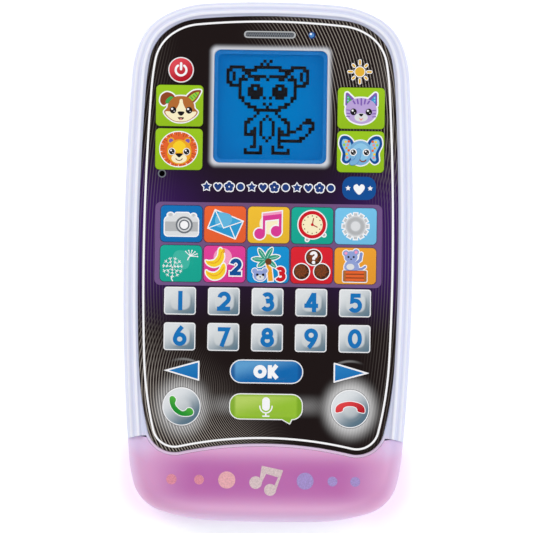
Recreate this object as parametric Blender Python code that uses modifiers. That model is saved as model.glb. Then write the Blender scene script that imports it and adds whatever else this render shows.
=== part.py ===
"""Toy cell phone with press keys, an LCD and a light-up bottom end, lying on its back.

+Z is up and out of the screen, +Y runs to the phone's top end, and the origin is under the middle
of the phone on the surface it lies on. Every size below is in millimetres; MM turns it into metres.
"""

from math import atan, cos, hypot, pi, radians, sin

import bmesh
import bpy

MM = 0.001

# ---- Driving dimensions, mm ----
LENGTH = 170.0
TOP = LENGTH / 2                # y of the top end; the bottom end is at -TOP
PANEL_TOP = 80.0                # y of the top edge of the black faceplate
GAP = 0.3                       # between any two pieces that meet
WALL = 2.0
UNDER = -1.0                    # cutters for the back start below the phone
FRONT_CUT_LOW = 10.0            # cutters for the front start below its parting line
ABOVE = 30.0                    # and end above the phone

# Right half of the case outline: arcs of (radius, clockwise sweep in degrees, segments),
# from the middle of the top end round to the middle of the bottom end.
CASE_ARCS = (
    (302.0, 4.06, 1), (32.9, 25.41, 3), (17.6, 39.92, 4), (37.2, 17.08, 2), (972.0, 3.53, 1),
    (777.6, 4.74, 1), (46.0, 10.88, 2), (13.5, 56.59, 5), (64.8, 16.75, 2), (854.4, 1.04, 1),
)
# The faceplate's opening. The last arc is hollow: its centre lies outside the outline.
PANEL_ARCS = (
    (236.0, 5.85, 1), (19.3, 30.55, 3), (15.3, 43.66, 4), (86.0, 6.38, 1), (900.0, 3.56, 1),
    (767.0, 2.39, 1), (123.8, 11.15, 2), (9.0, 89.0, 6), (-127.5, -12.55, 3),
)

# Heights, from the resting plane upwards
FLOOR_TOP = 2.0                 # inside face of the back
SPLIT = 13.0                    # top of the back case at the parting line
FRONT_LOW = SPLIT + GAP
PCB_Z = (15.3, 16.8)
MAT_Z = (17.1, 17.9)
DOME_TOP = 19.4
STEM_LOW = 20.5
BARB_Z = (20.9, 21.6)
DECK_Z = (21.9, 22.9)           # the web of the front case that the faceplate lies on
PLATE_Z = (23.2, 25.0)
CAP_LOW = 23.9
CAP_TOP = 25.4
HIGH_CAP_TOP = 25.7
KEY_TRAVEL = 0.8                # CAP_LOW - DECK_Z[1] leaves room for it

# (inset from the outline, height) of the rings that the shells are lofted through
FRONT_RINGS = (
    (0.0, FRONT_LOW), (0.0, 18.5), (0.35, 21.0), (1.3, 22.9), (2.3, 23.2),
    (2.6, 24.6), (3.4, 25.8), (4.1, 26.0), (5.2, 25.7),
)
BAR_RINGS = (
    (0.0, FRONT_LOW), (0.0, 16.0), (0.7, 19.5), (2.2, 22.4), (4.5, 24.2), (7.5, 25.0), (10.5, 25.2),
)
BAR_INSIDE_RINGS = ((2.0, 12.0), (2.0, 17.0), (4.0, 21.0), (7.0, 23.0), (10.5, 23.4))
BACK_SHOULDER = (7.0, 8.0)      # run and rise of the rounded back edge
BACK_SHOULDER_STEPS = 3

# Joint between the front case and the light bar
LIP = 0.9                       # rim of the case below the faceplate
SEAM_STEP_Y = -57.2
SEAM_SIDE = ((41.0, -57.4), (45.0, -58.3), (50.0, -59.4))

# Display
WINDOW = (0.0, 50.4)
WINDOW_SIZE = 37.0
WINDOW_CORNER = 1.6
DECK_WINDOW_SIZE = 34.6
LCD_SIZE = 40.4
LCD_Z = (18.4, 21.6)
TRAY_SIZE = 45.0
TRAY_FLOOR = 18.1

# Keys: sizes and places
DIGIT_SIZE = (10.4, 9.1)
DIGIT_START = (-28.5, -13.3)
DIGIT_PITCH = (14.25, 11.6)
DIGIT_ROWS = ("12345", "67890")
APP_SIZE = (13.6, 11.9)
APP_START = (-28.4, 11.8)
APP_PITCH = (14.2, 12.95)
APP_ROWS = (("camera", "mail", "music", "clock", "settings"),
            ("garden", "count", "beach", "guess", "pet"))
APP_CORNER = 1.2
APP_MARGIN = 0.5
FACE_SIZE = (15.4, 13.5)
FACE_CORNER = 1.6
FACE_MARGIN = 0.3
FACE_START = ((-29.6, 50.3), (29.6, 50.3))
FACE_PITCH = 14.2
FACE_COLUMNS = (("dog", "lion"), ("cat", "elephant"))
POWER = (-29.3, 62.0, 4.2)      # x, y, radius
BRIGHTNESS = (29.0, 62.2, 4.2)
CALL = (-27.5, -47.7, 6.3)
HANG_UP = (27.4, -47.7, 6.3)
OK_PLACE = (0.0, -36.0)
OK_SIZE = (24.0, 7.8)
TALK_PLACE = (0.0, -47.4)
TALK_HALF = (12.05, 4.3)
TALK_TAIL = ((5.2, -4.3), (7.9, -5.8), (8.6, -4.3))
ARROW_PLACE = (26.3, -36.0)
ARROW_REACH = (7.4, 4.5, 3.4)   # tip, base and half height from the arrow's place
STEM_RADIUS = 1.8
BARB_RADIUS = 2.5
STEM_HOLE = 2.2
ROUND_SIDES = 20
STEM_SIDES = 8

# Small openings in the faceplate
EARPIECE = (-0.5, 73.9)
EARPIECE_SIZE = (15.6, 1.4)
MICROPHONE = (-35.0, 28.1)
MICROPHONE_HOLE = 0.9

# Circuit board and what it carries
PCB_HALF_WIDTH = 31.6
PCB_Y = (-70.0, 74.0)
CHIP = (6.0, 22.0)
LED_X = 14.0
LED_Y = -67.0

# Case screws
BOSSES = ((-35.2, 67.0), (35.2, 67.0), (-35.2, -50.0), (35.2, -50.0))
BOSS_LOW = 1.4
BOSS_RADIUS = 4.2
BOSS_SIDES = 12
POST_RADIUS = 3.2
PILOT_RADIUS = 1.6
PILOT_TOP = 18.5
CASE_SCREW = (1.6, 2.6, 1.25, 17.5)     # head's low end, head and shaft radius, tip
HEAD_RECESS = 3.1
HEAD_RECESS_TOP = 3.5
SHAFT_HOLE = 1.7

# Speaker, behind slots in the back
SPEAKER = (0.0, 48.0)
SPEAKER_RADIUS = 14.0
SLOT_PITCH = 4.0
SLOT_WIDTH = 1.8

# Battery bay for two AAA cells that lie across the phone
BAY = (0.0, -14.0)
CELL_LENGTH = 44.5
CELL_RADIUS = 5.25
CELL_NUB = (1.9, 1.0)
CELL_Z = 7.7
CELL_SPACING = 5.5              # each cell's axis from the middle of the bay
POCKET_SIZE = (52.0, 22.6)
POCKET_TOP = 13.3
BLOCK_TOP = 14.5
BLOCK_MARGIN = 1.2              # wall round the door's rebate
REBATE_Y = (-20.8, 15.0)        # from the bay's centre
REBATE_WIDTH = 58.0
REBATE_CORNER = 1.5
REBATE_TOP = 2.3
CONTACT_X = 25.3
CONTACT_THICKNESS = 0.4
CONTACT_SIZE = (8.6, 9.4)       # height and width of a single contact

# Battery door and its captive screw
DOOR_Z = (0.3, 2.0)
DOOR_HINGE_Z = 0.45
TAB_X = 18.0
TAB = (6.0, 2.2, 1.2)           # width, reach and lowest height
TAB_SLOT_TOP = 3.5
DOOR_SCREW_Y = -16.0            # from the bay's centre
CUP_RADIUS = 4.2
CUP_RECESS = 3.0
CUP_FLOOR = (2.3, 3.5)
CUP_POCKET_TOP = 7.8
DOOR_SCREW = (0.5, 2.5, 1.3, 10.9)      # head's low end, head and shaft radius, tip
THREAD_HOLE = 2.3
THREAD_SHIFT = 0.45             # room for the screw's tip as the door swings
CLIP_RADII = (1.6, 2.7)
CLIP_Z = (6.8, 7.4)

# ---- Colours: red, green, blue, roughness, metallic ----
FINISHES = {
    "case": (0.60, 0.64, 0.86, 0.38, 0.0),
    "faceplate": (0.02, 0.015, 0.02, 0.22, 0.0),
    "light_bar": (0.72, 0.36, 0.66, 0.30, 0.0),
    "window": (0.03, 0.20, 0.62, 0.08, 0.0),
    "lcd": (0.01, 0.22, 0.62, 0.30, 0.0),
    "holder": (0.75, 0.75, 0.73, 0.50, 0.0),
    "green_key": (0.26, 0.48, 0.03, 0.35, 0.0),
    "blue_key": (0.02, 0.16, 0.50, 0.30, 0.0),
    "red_key": (0.65, 0.03, 0.04, 0.30, 0.0),
    "silver_key": (0.62, 0.64, 0.68, 0.28, 0.0),
    "app_key": (0.80, 0.45, 0.15, 0.35, 0.0),
    "rubber": (0.30, 0.30, 0.31, 0.70, 0.0),
    "board": (0.05, 0.30, 0.12, 0.45, 0.0),
    "chip": (0.02, 0.02, 0.02, 0.40, 0.0),
    "steel": (0.55, 0.55, 0.56, 0.30, 1.0),
    "led": (0.85, 0.85, 0.90, 0.20, 0.0),
    "cell": (0.10, 0.11, 0.13, 0.35, 0.4),
    "speaker": (0.12, 0.12, 0.13, 0.50, 0.0),
}


# ---- Scene and materials ----
def empty_scene():
    for found in list(bpy.data.objects):
        bpy.data.objects.remove(found, do_unlink=True)


def new_collection(name):
    made = bpy.data.collections.new(name)
    bpy.context.scene.collection.children.link(made)
    return made


def new_material(name, finish):
    red, green, blue, roughness, metallic = FINISHES[finish]
    made = bpy.data.materials.new(name)
    made.use_nodes = True
    shader = made.node_tree.nodes["Principled BSDF"]
    shader.inputs["Base Color"].default_value = (red, green, blue, 1.0)
    shader.inputs["Roughness"].default_value = roughness
    shader.inputs["Metallic"].default_value = metallic
    made.diffuse_color = (red, green, blue, 1.0)
    return made


# ---- Flat outlines: lists of (x, y) in mm ----
def arc_chain(start, arcs, inset):
    """Arcs that meet smoothly, heading +X at first and turning clockwise, moved in by inset."""
    x, y = start[0], start[1] - inset
    heading = 0.0
    points = [(x, y)]
    for radius, sweep, segments in arcs:
        reach = radius - inset
        turn = radians(sweep)
        centre_x = x + reach * sin(heading)
        centre_y = y - reach * cos(heading)
        for step in range(1, segments + 1):
            angle = heading - turn * step / segments
            points.append((centre_x - reach * sin(angle), centre_y + reach * cos(angle)))
        heading -= turn
        x, y = points[-1]
    return points


def mirrored(half):
    """A closed outline from its right half, whose first and last points lie on x = 0."""
    right = [(0.0, half[0][1])] + half[1:-1] + [(0.0, half[-1][1])]
    return right + [(-x, y) for x, y in reversed(right[1:-1])]


def case_outline(inset):
    return mirrored(arc_chain((0.0, TOP), CASE_ARCS, inset))


def panel_outline(inset):
    return mirrored(arc_chain((0.0, PANEL_TOP), PANEL_ARCS, inset))


def below_seam(gap):
    """The region that the light bar fills, which starts gap below the case's lip."""
    panel = arc_chain((0.0, PANEL_TOP), PANEL_ARCS, -LIP - gap)
    line = [point for point in panel[:-1] if point[1] < SEAM_STEP_Y - gap]
    side = [(x, y - gap) for x, y in SEAM_SIDE]
    low = -TOP - 5.0
    right = [(0.0, panel[-1][1])] + line[::-1] + side + [(SEAM_SIDE[-1][0], low), (0.0, low)]
    return mirrored(right)


def circle(radius, sides, place=(0.0, 0.0)):
    step = 2 * pi / sides
    return [(place[0] + radius * cos(step * i), place[1] + radius * sin(step * i)) for i in range(sides)]


def rounded(corners, grow=0.0, segments=2):
    """An outline from anticlockwise corners of (x, y, radius), pushed outwards by grow."""
    count = len(corners)
    edges = []
    for i in range(count):
        ax, ay, _ = corners[i]
        bx, by, _ = corners[(i + 1) % count]
        length = hypot(bx - ax, by - ay)
        edges.append(((bx - ax) / length, (by - ay) / length))
    points = []
    for i in range(count):
        x, y, radius = corners[i]
        ux, uy = edges[i - 1]
        vx, vy = edges[i]
        cross = ux * vy - uy * vx
        dot = ux * vx + uy * vy
        half_turn_tan = cross / (1 + dot)
        x += grow * (uy + half_turn_tan * ux)
        y += grow * (-ux + half_turn_tan * uy)
        if radius <= 0.0:
            points.append((x, y))
            continue
        bend = radius + grow
        back = bend * half_turn_tan
        start_x, start_y = x - back * ux, y - back * uy
        centre_x, centre_y = start_x - bend * uy, start_y + bend * ux
        turn = 2 * atan(half_turn_tan)
        for step in range(segments + 1):
            angle = turn * step / segments
            points.append((centre_x + bend * (uy * cos(angle) + ux * sin(angle)),
                           centre_y + bend * (-ux * cos(angle) + uy * sin(angle))))
    return points


def rectangle(width, height, radius, place=(0.0, 0.0)):
    x, y = place
    w, h = width / 2, height / 2
    return [(x - w, y - h, radius), (x + w, y - h, radius), (x + w, y + h, radius), (x - w, y + h, radius)]


# ---- Solids ----
def add_object(name, mesh, collection, place=(0.0, 0.0)):
    made = bpy.data.objects.new(name, mesh)
    made.location = (place[0] * MM, place[1] * MM, 0.0)
    collection.objects.link(made)
    if collection is CUTTERS:
        made.hide_render = True
        made.display_type = "WIRE"
    return made


def prism(name, outlines, low, high, collection, place=(0.0, 0.0)):
    """Separate flat outlines, each extruded from low to high."""
    work = bmesh.new()
    for outline in outlines:
        add_rings(work, [(outline, low), (outline, high)])
    return add_work(name, work, collection, place)


def plate_with_openings(name, outlines, low, high, collection):
    """A plate whose first outline is its edge and whose other outlines are holes in it."""
    curve = bpy.data.curves.new(name, "CURVE")
    curve.dimensions = "2D"
    curve.fill_mode = "BOTH"
    curve.extrude = (high - low) / 2 * MM
    for outline in outlines:
        spline = curve.splines.new("POLY")
        spline.points.add(len(outline) - 1)
        for point, (x, y) in zip(spline.points, outline):
            point.co = (x * MM, y * MM, 0.0, 1.0)
        spline.use_cyclic_u = True
    drawn = bpy.data.objects.new(name + "_curve", curve)
    CUTTERS.objects.link(drawn)
    bpy.context.view_layer.update()
    evaluated = drawn.evaluated_get(bpy.context.evaluated_depsgraph_get())
    mesh = bpy.data.meshes.new_from_object(evaluated)
    bpy.data.objects.remove(drawn, do_unlink=True)
    work = bmesh.new()
    work.from_mesh(mesh)
    bmesh.ops.remove_doubles(work, verts=work.verts, dist=1e-7)
    bmesh.ops.translate(work, verts=work.verts, vec=(0.0, 0.0, (low + high) / 2 * MM))
    return add_work(name, work, collection)


def add_rings(work, sections):
    """A closed solid through rings of (outline, height) that have equal numbers of points."""
    rings = []
    for outline, height in sections:
        rings.append([work.verts.new((x * MM, y * MM, height * MM)) for x, y in outline])
    count = len(rings[0])
    for lower, upper in zip(rings, rings[1:]):
        for i in range(count):
            j = (i + 1) % count
            work.faces.new((lower[i], lower[j], upper[j], upper[i]))
    work.faces.new(rings[0])
    work.faces.new(rings[-1])


def add_work(name, work, collection, place=(0.0, 0.0)):
    """Turns a finished bmesh into an object with its faces pointing out."""
    bmesh.ops.recalc_face_normals(work, faces=work.faces)
    mesh = bpy.data.meshes.new(name)
    work.to_mesh(mesh)
    work.free()
    return add_object(name, mesh, collection, place)


def loft(name, sections, collection):
    work = bmesh.new()
    add_rings(work, sections)
    return add_work(name, work, collection)


def turned(name, profile, sides, collection, place=(0.0, 0.0)):
    """A solid of revolution about Z from (radius, height) points that run top to bottom."""
    mesh = bpy.data.meshes.new(name)
    points = [(radius * MM, 0.0, height * MM) for radius, height in profile]
    edges = [(i, i + 1) for i in range(len(points) - 1)]
    if profile[0][0] > 0.0:
        edges.append((len(points) - 1, 0))
    mesh.from_pydata(points, edges, [])
    made = add_object(name, mesh, collection, place)
    screw = made.modifiers.new("turn", "SCREW")
    screw.axis = "Z"
    screw.steps = sides
    screw.render_steps = sides
    screw.use_merge_vertices = True
    screw.merge_threshold = 0.00001
    return made


def box(name, size, centre, collection):
    work = bmesh.new()
    bmesh.ops.create_cube(work, size=MM)
    bmesh.ops.scale(work, verts=work.verts, vec=size)
    bmesh.ops.translate(work, verts=work.verts, vec=[c * MM for c in centre])
    return add_work(name, work, collection)


def combine(piece, other, operation):
    """Adds a live Boolean (UNION, DIFFERENCE or INTERSECT) with other to piece."""
    change = piece.modifiers.new(other.name, "BOOLEAN")
    change.operation = operation
    change.object = other
    change.solver = "EXACT"
    return piece


def cut(piece, cutter):
    return combine(piece, cutter, "DIFFERENCE")


def finish(piece, finish_name):
    piece.data.materials.clear()
    piece.data.materials.append(new_material(piece.name, finish_name))
    return piece


# ---- Keys ----
def key_layout():
    """Every key as (name, place, corners or radius, cap top, finish)."""
    keys = []
    for row, digits in enumerate(DIGIT_ROWS):
        for column, digit in enumerate(digits):
            place = (DIGIT_START[0] + column * DIGIT_PITCH[0], DIGIT_START[1] - row * DIGIT_PITCH[1])
            keys.append(("key_" + digit, place, rectangle(*DIGIT_SIZE, 1.0), HIGH_CAP_TOP, "silver_key"))
    for row, names in enumerate(APP_ROWS):
        for column, name in enumerate(names):
            place = (APP_START[0] + column * APP_PITCH[0], APP_START[1] - row * APP_PITCH[1])
            keys.append(("key_" + name, place, rectangle(*APP_SIZE, APP_CORNER), CAP_TOP, "app_key"))
    for names, (x, y) in zip(FACE_COLUMNS, FACE_START):
        for row, name in enumerate(names):
            place = (x, y - row * FACE_PITCH)
            keys.append(("key_" + name, place, rectangle(*FACE_SIZE, FACE_CORNER), CAP_TOP, "green_key"))
    for name, (x, y, radius), finish_name in (
        ("key_power", POWER, "red_key"), ("key_brightness", BRIGHTNESS, "silver_key"),
        ("key_call", CALL, "silver_key"), ("key_hang_up", HANG_UP, "silver_key"),
    ):
        keys.append((name, (x, y), radius, HIGH_CAP_TOP, finish_name))
    keys.append(("key_ok", OK_PLACE, rectangle(*OK_SIZE, 3.6), HIGH_CAP_TOP, "blue_key"))
    keys.append(("key_talk", TALK_PLACE, talk_corners(), HIGH_CAP_TOP, "green_key"))
    for name, side in (("key_left", -1), ("key_right", 1)):
        place = (side * ARROW_PLACE[0], ARROW_PLACE[1])
        keys.append((name, place, arrow_corners(side), HIGH_CAP_TOP, "blue_key"))
    return keys


def talk_corners():
    """A speech bubble: a rounded box with a small tail below its right end."""
    w, h = TALK_HALF
    tail = [(x, y, 0.0) for x, y in TALK_TAIL]
    return [(-w, -h, 3.2)] + tail + [(w, -h, 3.2), (w, h, 3.2), (-w, h, 3.2)]


def arrow_corners(side):
    tip, base, half = ARROW_REACH
    corners = [(-base, -half, 0.4), (tip, 0.0, 0.15), (-base, half, 0.4)]
    if side < 0:
        return [(-x, y, radius) for x, y, radius in reversed(corners)]
    return corners


def key_outline(shape, grow):
    if isinstance(shape, float):
        return circle(shape + grow, ROUND_SIDES)
    return rounded(shape, grow)


def make_key(name, place, shape, top, finish_name):
    """A cap that stands in the faceplate, with a barbed stem through the deck below it."""
    cap = prism(name, [key_outline(shape, 0.0)], CAP_LOW, top, PARTS, place)
    stem_profile = (
        (0.0, CAP_LOW + 0.6), (STEM_RADIUS, CAP_LOW + 0.6), (STEM_RADIUS, BARB_Z[1]),
        (BARB_RADIUS, BARB_Z[1]), (BARB_RADIUS, BARB_Z[0]), (STEM_RADIUS, STEM_LOW), (0.0, STEM_LOW),
    )
    stem = turned(name + "_stem", stem_profile, STEM_SIDES, CUTTERS, place)
    combine(cap, stem, "UNION")
    return finish(cap, finish_name)


def stem_openings(radius):
    return [circle(radius, STEM_SIDES, place) for _, place, _, _, _ in key_layout()]


# ---- Shells ----
def make_front_case():
    case = loft("front_case", [(case_outline(inset), z) for inset, z in FRONT_RINGS], PARTS)
    cut(case, prism("bar_region", [below_seam(0.0)], FRONT_CUT_LOW, ABOVE, CUTTERS))
    cut(case, prism("panel_recess", [panel_outline(0.0)], DECK_Z[1], ABOVE, CUTTERS))
    cut(case, prism("front_inside", [case_outline(WALL)], FRONT_CUT_LOW, DECK_Z[0], CUTTERS))
    posts = [circle(POST_RADIUS, BOSS_SIDES, place) for place in BOSSES]
    combine(case, prism("posts", posts, FRONT_LOW, DECK_Z[0] + 0.5, CUTTERS), "UNION")
    pilots = [circle(PILOT_RADIUS, STEM_SIDES, place) for place in BOSSES]
    cut(case, prism("post_pilots", pilots, FRONT_CUT_LOW, PILOT_TOP, CUTTERS))
    window = rounded(rectangle(DECK_WINDOW_SIZE, DECK_WINDOW_SIZE, 1.0, WINDOW))
    sound = circle(MICROPHONE_HOLE, STEM_SIDES, MICROPHONE)
    openings = stem_openings(STEM_HOLE) + [window, sound]
    cut(case, prism("deck_openings", openings, DECK_Z[0] - 1.0, ABOVE, CUTTERS))
    return finish(case, "case")


def make_light_bar():
    bar = loft("light_bar", [(case_outline(inset), z) for inset, z in BAR_RINGS], PARTS)
    combine(bar, prism("bar_keep", [below_seam(GAP)], FRONT_CUT_LOW, ABOVE, CUTTERS), "INTERSECT")
    inside = [(case_outline(inset), z) for inset, z in BAR_INSIDE_RINGS]
    cut(bar, loft("bar_inside", inside, CUTTERS))
    return finish(bar, "light_bar")


def make_faceplate():
    outlines = [panel_outline(GAP)]
    grouped = (rectangle(*APP_SIZE, APP_CORNER), rectangle(*FACE_SIZE, FACE_CORNER))
    for _, place, shape, _, _ in key_layout():
        if shape not in grouped:
            outlines.append([(x + place[0], y + place[1]) for x, y in key_outline(shape, GAP)])
    outlines.append(rounded(group_opening(APP_START, APP_PITCH, (5, 2), APP_SIZE, APP_MARGIN)))
    for x, y in FACE_START:
        outlines.append(rounded(group_opening((x, y), (0.0, FACE_PITCH), (1, 2), FACE_SIZE, FACE_MARGIN)))
    outlines.append(rounded(rectangle(WINDOW_SIZE, WINDOW_SIZE, WINDOW_CORNER, WINDOW)))
    outlines.append(rounded(rectangle(*EARPIECE_SIZE, 0.6, EARPIECE)))
    outlines.append(circle(MICROPHONE_HOLE, STEM_SIDES, MICROPHONE))
    return finish(plate_with_openings("faceplate", outlines, *PLATE_Z, PARTS), "faceplate")


def group_opening(start, pitch, count, size, margin):
    """One opening for keys that lie close beside each other, start being the upper left one."""
    width = (count[0] - 1) * pitch[0] + size[0] + 2 * margin
    height = (count[1] - 1) * pitch[1] + size[1] + 2 * margin
    centre = (start[0] + (count[0] - 1) * pitch[0] / 2, start[1] - (count[1] - 1) * pitch[1] / 2)
    return rectangle(width, height, 1.5, centre)


def make_window():
    size = WINDOW_SIZE - 2 * GAP
    outline = rounded(rectangle(size, size, WINDOW_CORNER - GAP, WINDOW))
    return finish(prism("screen_window", [outline], PLATE_Z[0], PLATE_Z[1] - 0.2, PARTS), "window")


def shoulder_rings(depth):
    """The rounded back edge as quarter-ellipse rings, depth inside the outer face."""
    run, rise = BACK_SHOULDER
    rings = []
    for step in range(BACK_SHOULDER_STEPS + 1):
        angle = pi / 2 * step / BACK_SHOULDER_STEPS
        inset = run * (1 - sin(angle)) + depth * sin(angle)
        height = rise * (1 - cos(angle)) + depth * cos(angle)
        rings.append((inset, height))
    return rings


def make_back_case():
    outer = [(case_outline(inset), z) for inset, z in shoulder_rings(0.0) + [(0.0, SPLIT)]]
    case = loft("back_case", outer, PARTS)
    inside = [(case_outline(inset), z) for inset, z in shoulder_rings(WALL) + [(WALL, ABOVE)]]
    cut(case, loft("back_inside", inside, CUTTERS))
    block_y = (REBATE_Y[0] - BLOCK_MARGIN, REBATE_Y[1] + BLOCK_MARGIN)
    block = bay_rectangle(REBATE_WIDTH + 2 * BLOCK_MARGIN, block_y, 1.0)
    combine(case, prism("bay_block", [block], FLOOR_TOP / 2, BLOCK_TOP, CUTTERS), "UNION")
    bosses = [circle(BOSS_RADIUS, BOSS_SIDES, place) for place in BOSSES]
    combine(case, prism("bosses", bosses, BOSS_LOW, SPLIT, CUTTERS), "UNION")
    rebate = bay_rectangle(REBATE_WIDTH, REBATE_Y, REBATE_CORNER)
    cut(case, prism("door_rebate", [rebate], UNDER, REBATE_TOP, CUTTERS))
    pocket = rounded(rectangle(*POCKET_SIZE, 0.5, BAY))
    cut(case, prism("cell_pocket", [pocket], UNDER, POCKET_TOP, CUTTERS))
    screw_at = (BAY[0], BAY[1] + DOOR_SCREW_Y)
    cup_room = circle(CUP_RADIUS + 0.4, BOSS_SIDES, screw_at)
    cut(case, prism("cup_pocket", [cup_room], UNDER, CUP_POCKET_TOP, CUTTERS))
    thread_at = (screw_at[0], screw_at[1] - THREAD_SHIFT)
    thread_hole = circle(THREAD_HOLE, BOSS_SIDES, thread_at)
    cut(case, prism("thread_hole", [thread_hole], UNDER, DOOR_SCREW[3] + 1.0, CUTTERS))
    slots = [rounded(tab_rectangle(side, 0.4)) for side in (-1, 1)]
    cut(case, prism("tab_slots", slots, TAB[2] - GAP, TAB_SLOT_TOP, CUTTERS))
    recesses = [circle(HEAD_RECESS, BOSS_SIDES, place) for place in BOSSES]
    cut(case, prism("head_recesses", recesses, UNDER, HEAD_RECESS_TOP, CUTTERS))
    shaft_holes = [circle(SHAFT_HOLE, STEM_SIDES, place) for place in BOSSES]
    cut(case, prism("shaft_holes", shaft_holes, UNDER, ABOVE, CUTTERS))
    cut(case, prism("speaker_slots", speaker_slots(), UNDER, FLOOR_TOP + 1.0, CUTTERS))
    return finish(case, "case")


def bay_rectangle(width, y_range, radius):
    """A rounded rectangle about the battery bay, y_range being counted from the bay's centre."""
    centre = (BAY[0], BAY[1] + (y_range[0] + y_range[1]) / 2)
    return rounded(rectangle(width, y_range[1] - y_range[0], radius, centre))


def tab_rectangle(side, room):
    """One door tab, or with room its slot, reaching out past the rebate's upper edge."""
    width, reach, _ = TAB
    low = REBATE_Y[1] - 2.0
    high = REBATE_Y[1] - GAP + reach + room
    centre = (BAY[0] + side * TAB_X, BAY[1] + (low + high) / 2)
    return rectangle(width + 2 * room, high - low, 0.3, centre)


def speaker_slots():
    """Five sound slots that keep inside the speaker's circle."""
    slots = []
    for i in range(-2, 3):
        reach = (SPEAKER_RADIUS - 3.0) ** 2 - (i * SLOT_PITCH) ** 2
        place = (SPEAKER[0], SPEAKER[1] + i * SLOT_PITCH)
        slots.append(rounded(rectangle(2 * reach ** 0.5, SLOT_WIDTH, 0.6, place), 0.0, 1))
    return slots


# ---- Battery door, its screw and the cells ----
def make_battery_door():
    y_range = (REBATE_Y[0] + GAP, REBATE_Y[1] - GAP)
    outline = bay_rectangle(REBATE_WIDTH - 2 * GAP, y_range, REBATE_CORNER - GAP)
    door = prism("battery_door", [outline], *DOOR_Z, PARTS)
    screw_at = (BAY[0], BAY[1] + DOOR_SCREW_Y)
    cup = prism("door_cup", [circle(CUP_RADIUS, BOSS_SIDES, screw_at)], 1.0, CUP_FLOOR[1], CUTTERS)
    combine(door, cup, "UNION")
    tabs = [rounded(tab_rectangle(side, 0.0)) for side in (-1, 1)]
    combine(door, prism("door_tabs", tabs, TAB[2], DOOR_Z[1] - 0.001, CUTTERS), "UNION")
    cut(door, prism("door_recess", [circle(CUP_RECESS, BOSS_SIDES, screw_at)], UNDER, CUP_FLOOR[0], CUTTERS))
    cut(door, prism("door_hole", [circle(SHAFT_HOLE, STEM_SIDES, screw_at)], UNDER, CUP_POCKET_TOP, CUTTERS))
    return finish(door, "case")


def make_screw(name, place, head_low, head_radius, shaft_radius, tip):
    """A pan-head screw that points up, with a cross recess in its head."""
    head_top = head_low + 1.5
    profile = (
        (0.0, tip), (shaft_radius * 0.6, tip), (shaft_radius, tip - 1.0), (shaft_radius, head_top),
        (head_radius, head_top), (head_radius, head_low + 0.5), (head_radius * 0.7, head_low), (0.0, head_low),
    )
    screw = turned(name, profile, BOSS_SIDES, PARTS, place)
    bar = head_radius * 0.6
    cross = [(-bar, -0.35), (-0.35, -0.35), (-0.35, -bar), (0.35, -bar), (0.35, -0.35), (bar, -0.35),
             (bar, 0.35), (0.35, 0.35), (0.35, bar), (-0.35, bar), (-0.35, 0.35), (-bar, 0.35)]
    cut(screw, prism(name + "_cross", [cross], head_low - 1.0, head_low + 0.8, CUTTERS, place))
    return finish(screw, "steel")


def make_screws():
    for number, place in enumerate(BOSSES, start=1):
        make_screw(f"case_screw_{number}", place, *CASE_SCREW)
    screw_at = (BAY[0], BAY[1] + DOOR_SCREW_Y)
    make_screw("door_screw", screw_at, *DOOR_SCREW)
    inner, outer = CLIP_RADII
    clip = ((inner, CLIP_Z[1]), (outer, CLIP_Z[1]), (outer, CLIP_Z[0]), (inner, CLIP_Z[0]))
    finish(turned("screw_clip", clip, BOSS_SIDES, PARTS, screw_at), "steel")


def make_cell(name, side):
    """One AAA cell, its positive end towards side (+1 or -1 along X)."""
    nub_radius, nub = CELL_NUB
    body = CELL_LENGTH - nub
    profile = (
        (0.0, CELL_LENGTH), (nub_radius, CELL_LENGTH), (nub_radius, body), (CELL_RADIUS - 0.5, body),
        (CELL_RADIUS, body - 0.5), (CELL_RADIUS, 0.5), (CELL_RADIUS - 0.5, 0.0), (0.0, 0.0),
    )
    cell = turned(name, profile, 16, PARTS)
    tip = CONTACT_X - 0.4
    cell.rotation_euler = (0.0, side * pi / 2, 0.0)
    cell.location = (side * (tip - CELL_LENGTH) * MM, (BAY[1] + side * CELL_SPACING) * MM, CELL_Z * MM)
    return finish(cell, "cell")


def make_contact_spring(name, side):
    """A conical coil behind a cell's negative end, at the side that the end faces."""
    turns, per_turn = 3.0, 10
    count = int(turns * per_turn)
    near = -(CONTACT_X - 0.4 - CELL_LENGTH) + GAP + 0.4
    far = CONTACT_X - GAP - 0.4
    curve = bpy.data.curves.new(name, "CURVE")
    curve.dimensions = "3D"
    curve.bevel_depth = 0.3 * MM
    curve.bevel_resolution = 1
    curve.use_fill_caps = True
    spline = curve.splines.new("POLY")
    spline.points.add(count)
    for i, point in enumerate(spline.points):
        part = i / count
        angle = 2 * pi * turns * part
        radius = 2.0 + 1.4 * part
        x = near + (far - near) * part
        point.co = (side * x * MM, radius * cos(angle) * MM, radius * sin(angle) * MM, 1.0)
    coil = bpy.data.objects.new(name, curve)
    coil.location = (0.0, (BAY[1] - side * CELL_SPACING) * MM, CELL_Z * MM)
    PARTS.objects.link(coil)
    return finish(coil, "steel")


def make_contacts():
    x = CONTACT_X + CONTACT_THICKNESS / 2
    height, short = CONTACT_SIZE
    long = 2 * CELL_SPACING + 9.0
    for name, size_y, centre_x, offset_y in (
        ("contact_bridge", long, x, 0.0),
        ("contact_positive", short, -x, -CELL_SPACING),
        ("contact_negative", short, -x, CELL_SPACING),
    ):
        plate = box(name, (CONTACT_THICKNESS, size_y, height), (centre_x, BAY[1] + offset_y, CELL_Z), PARTS)
        finish(plate, "steel")


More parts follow.
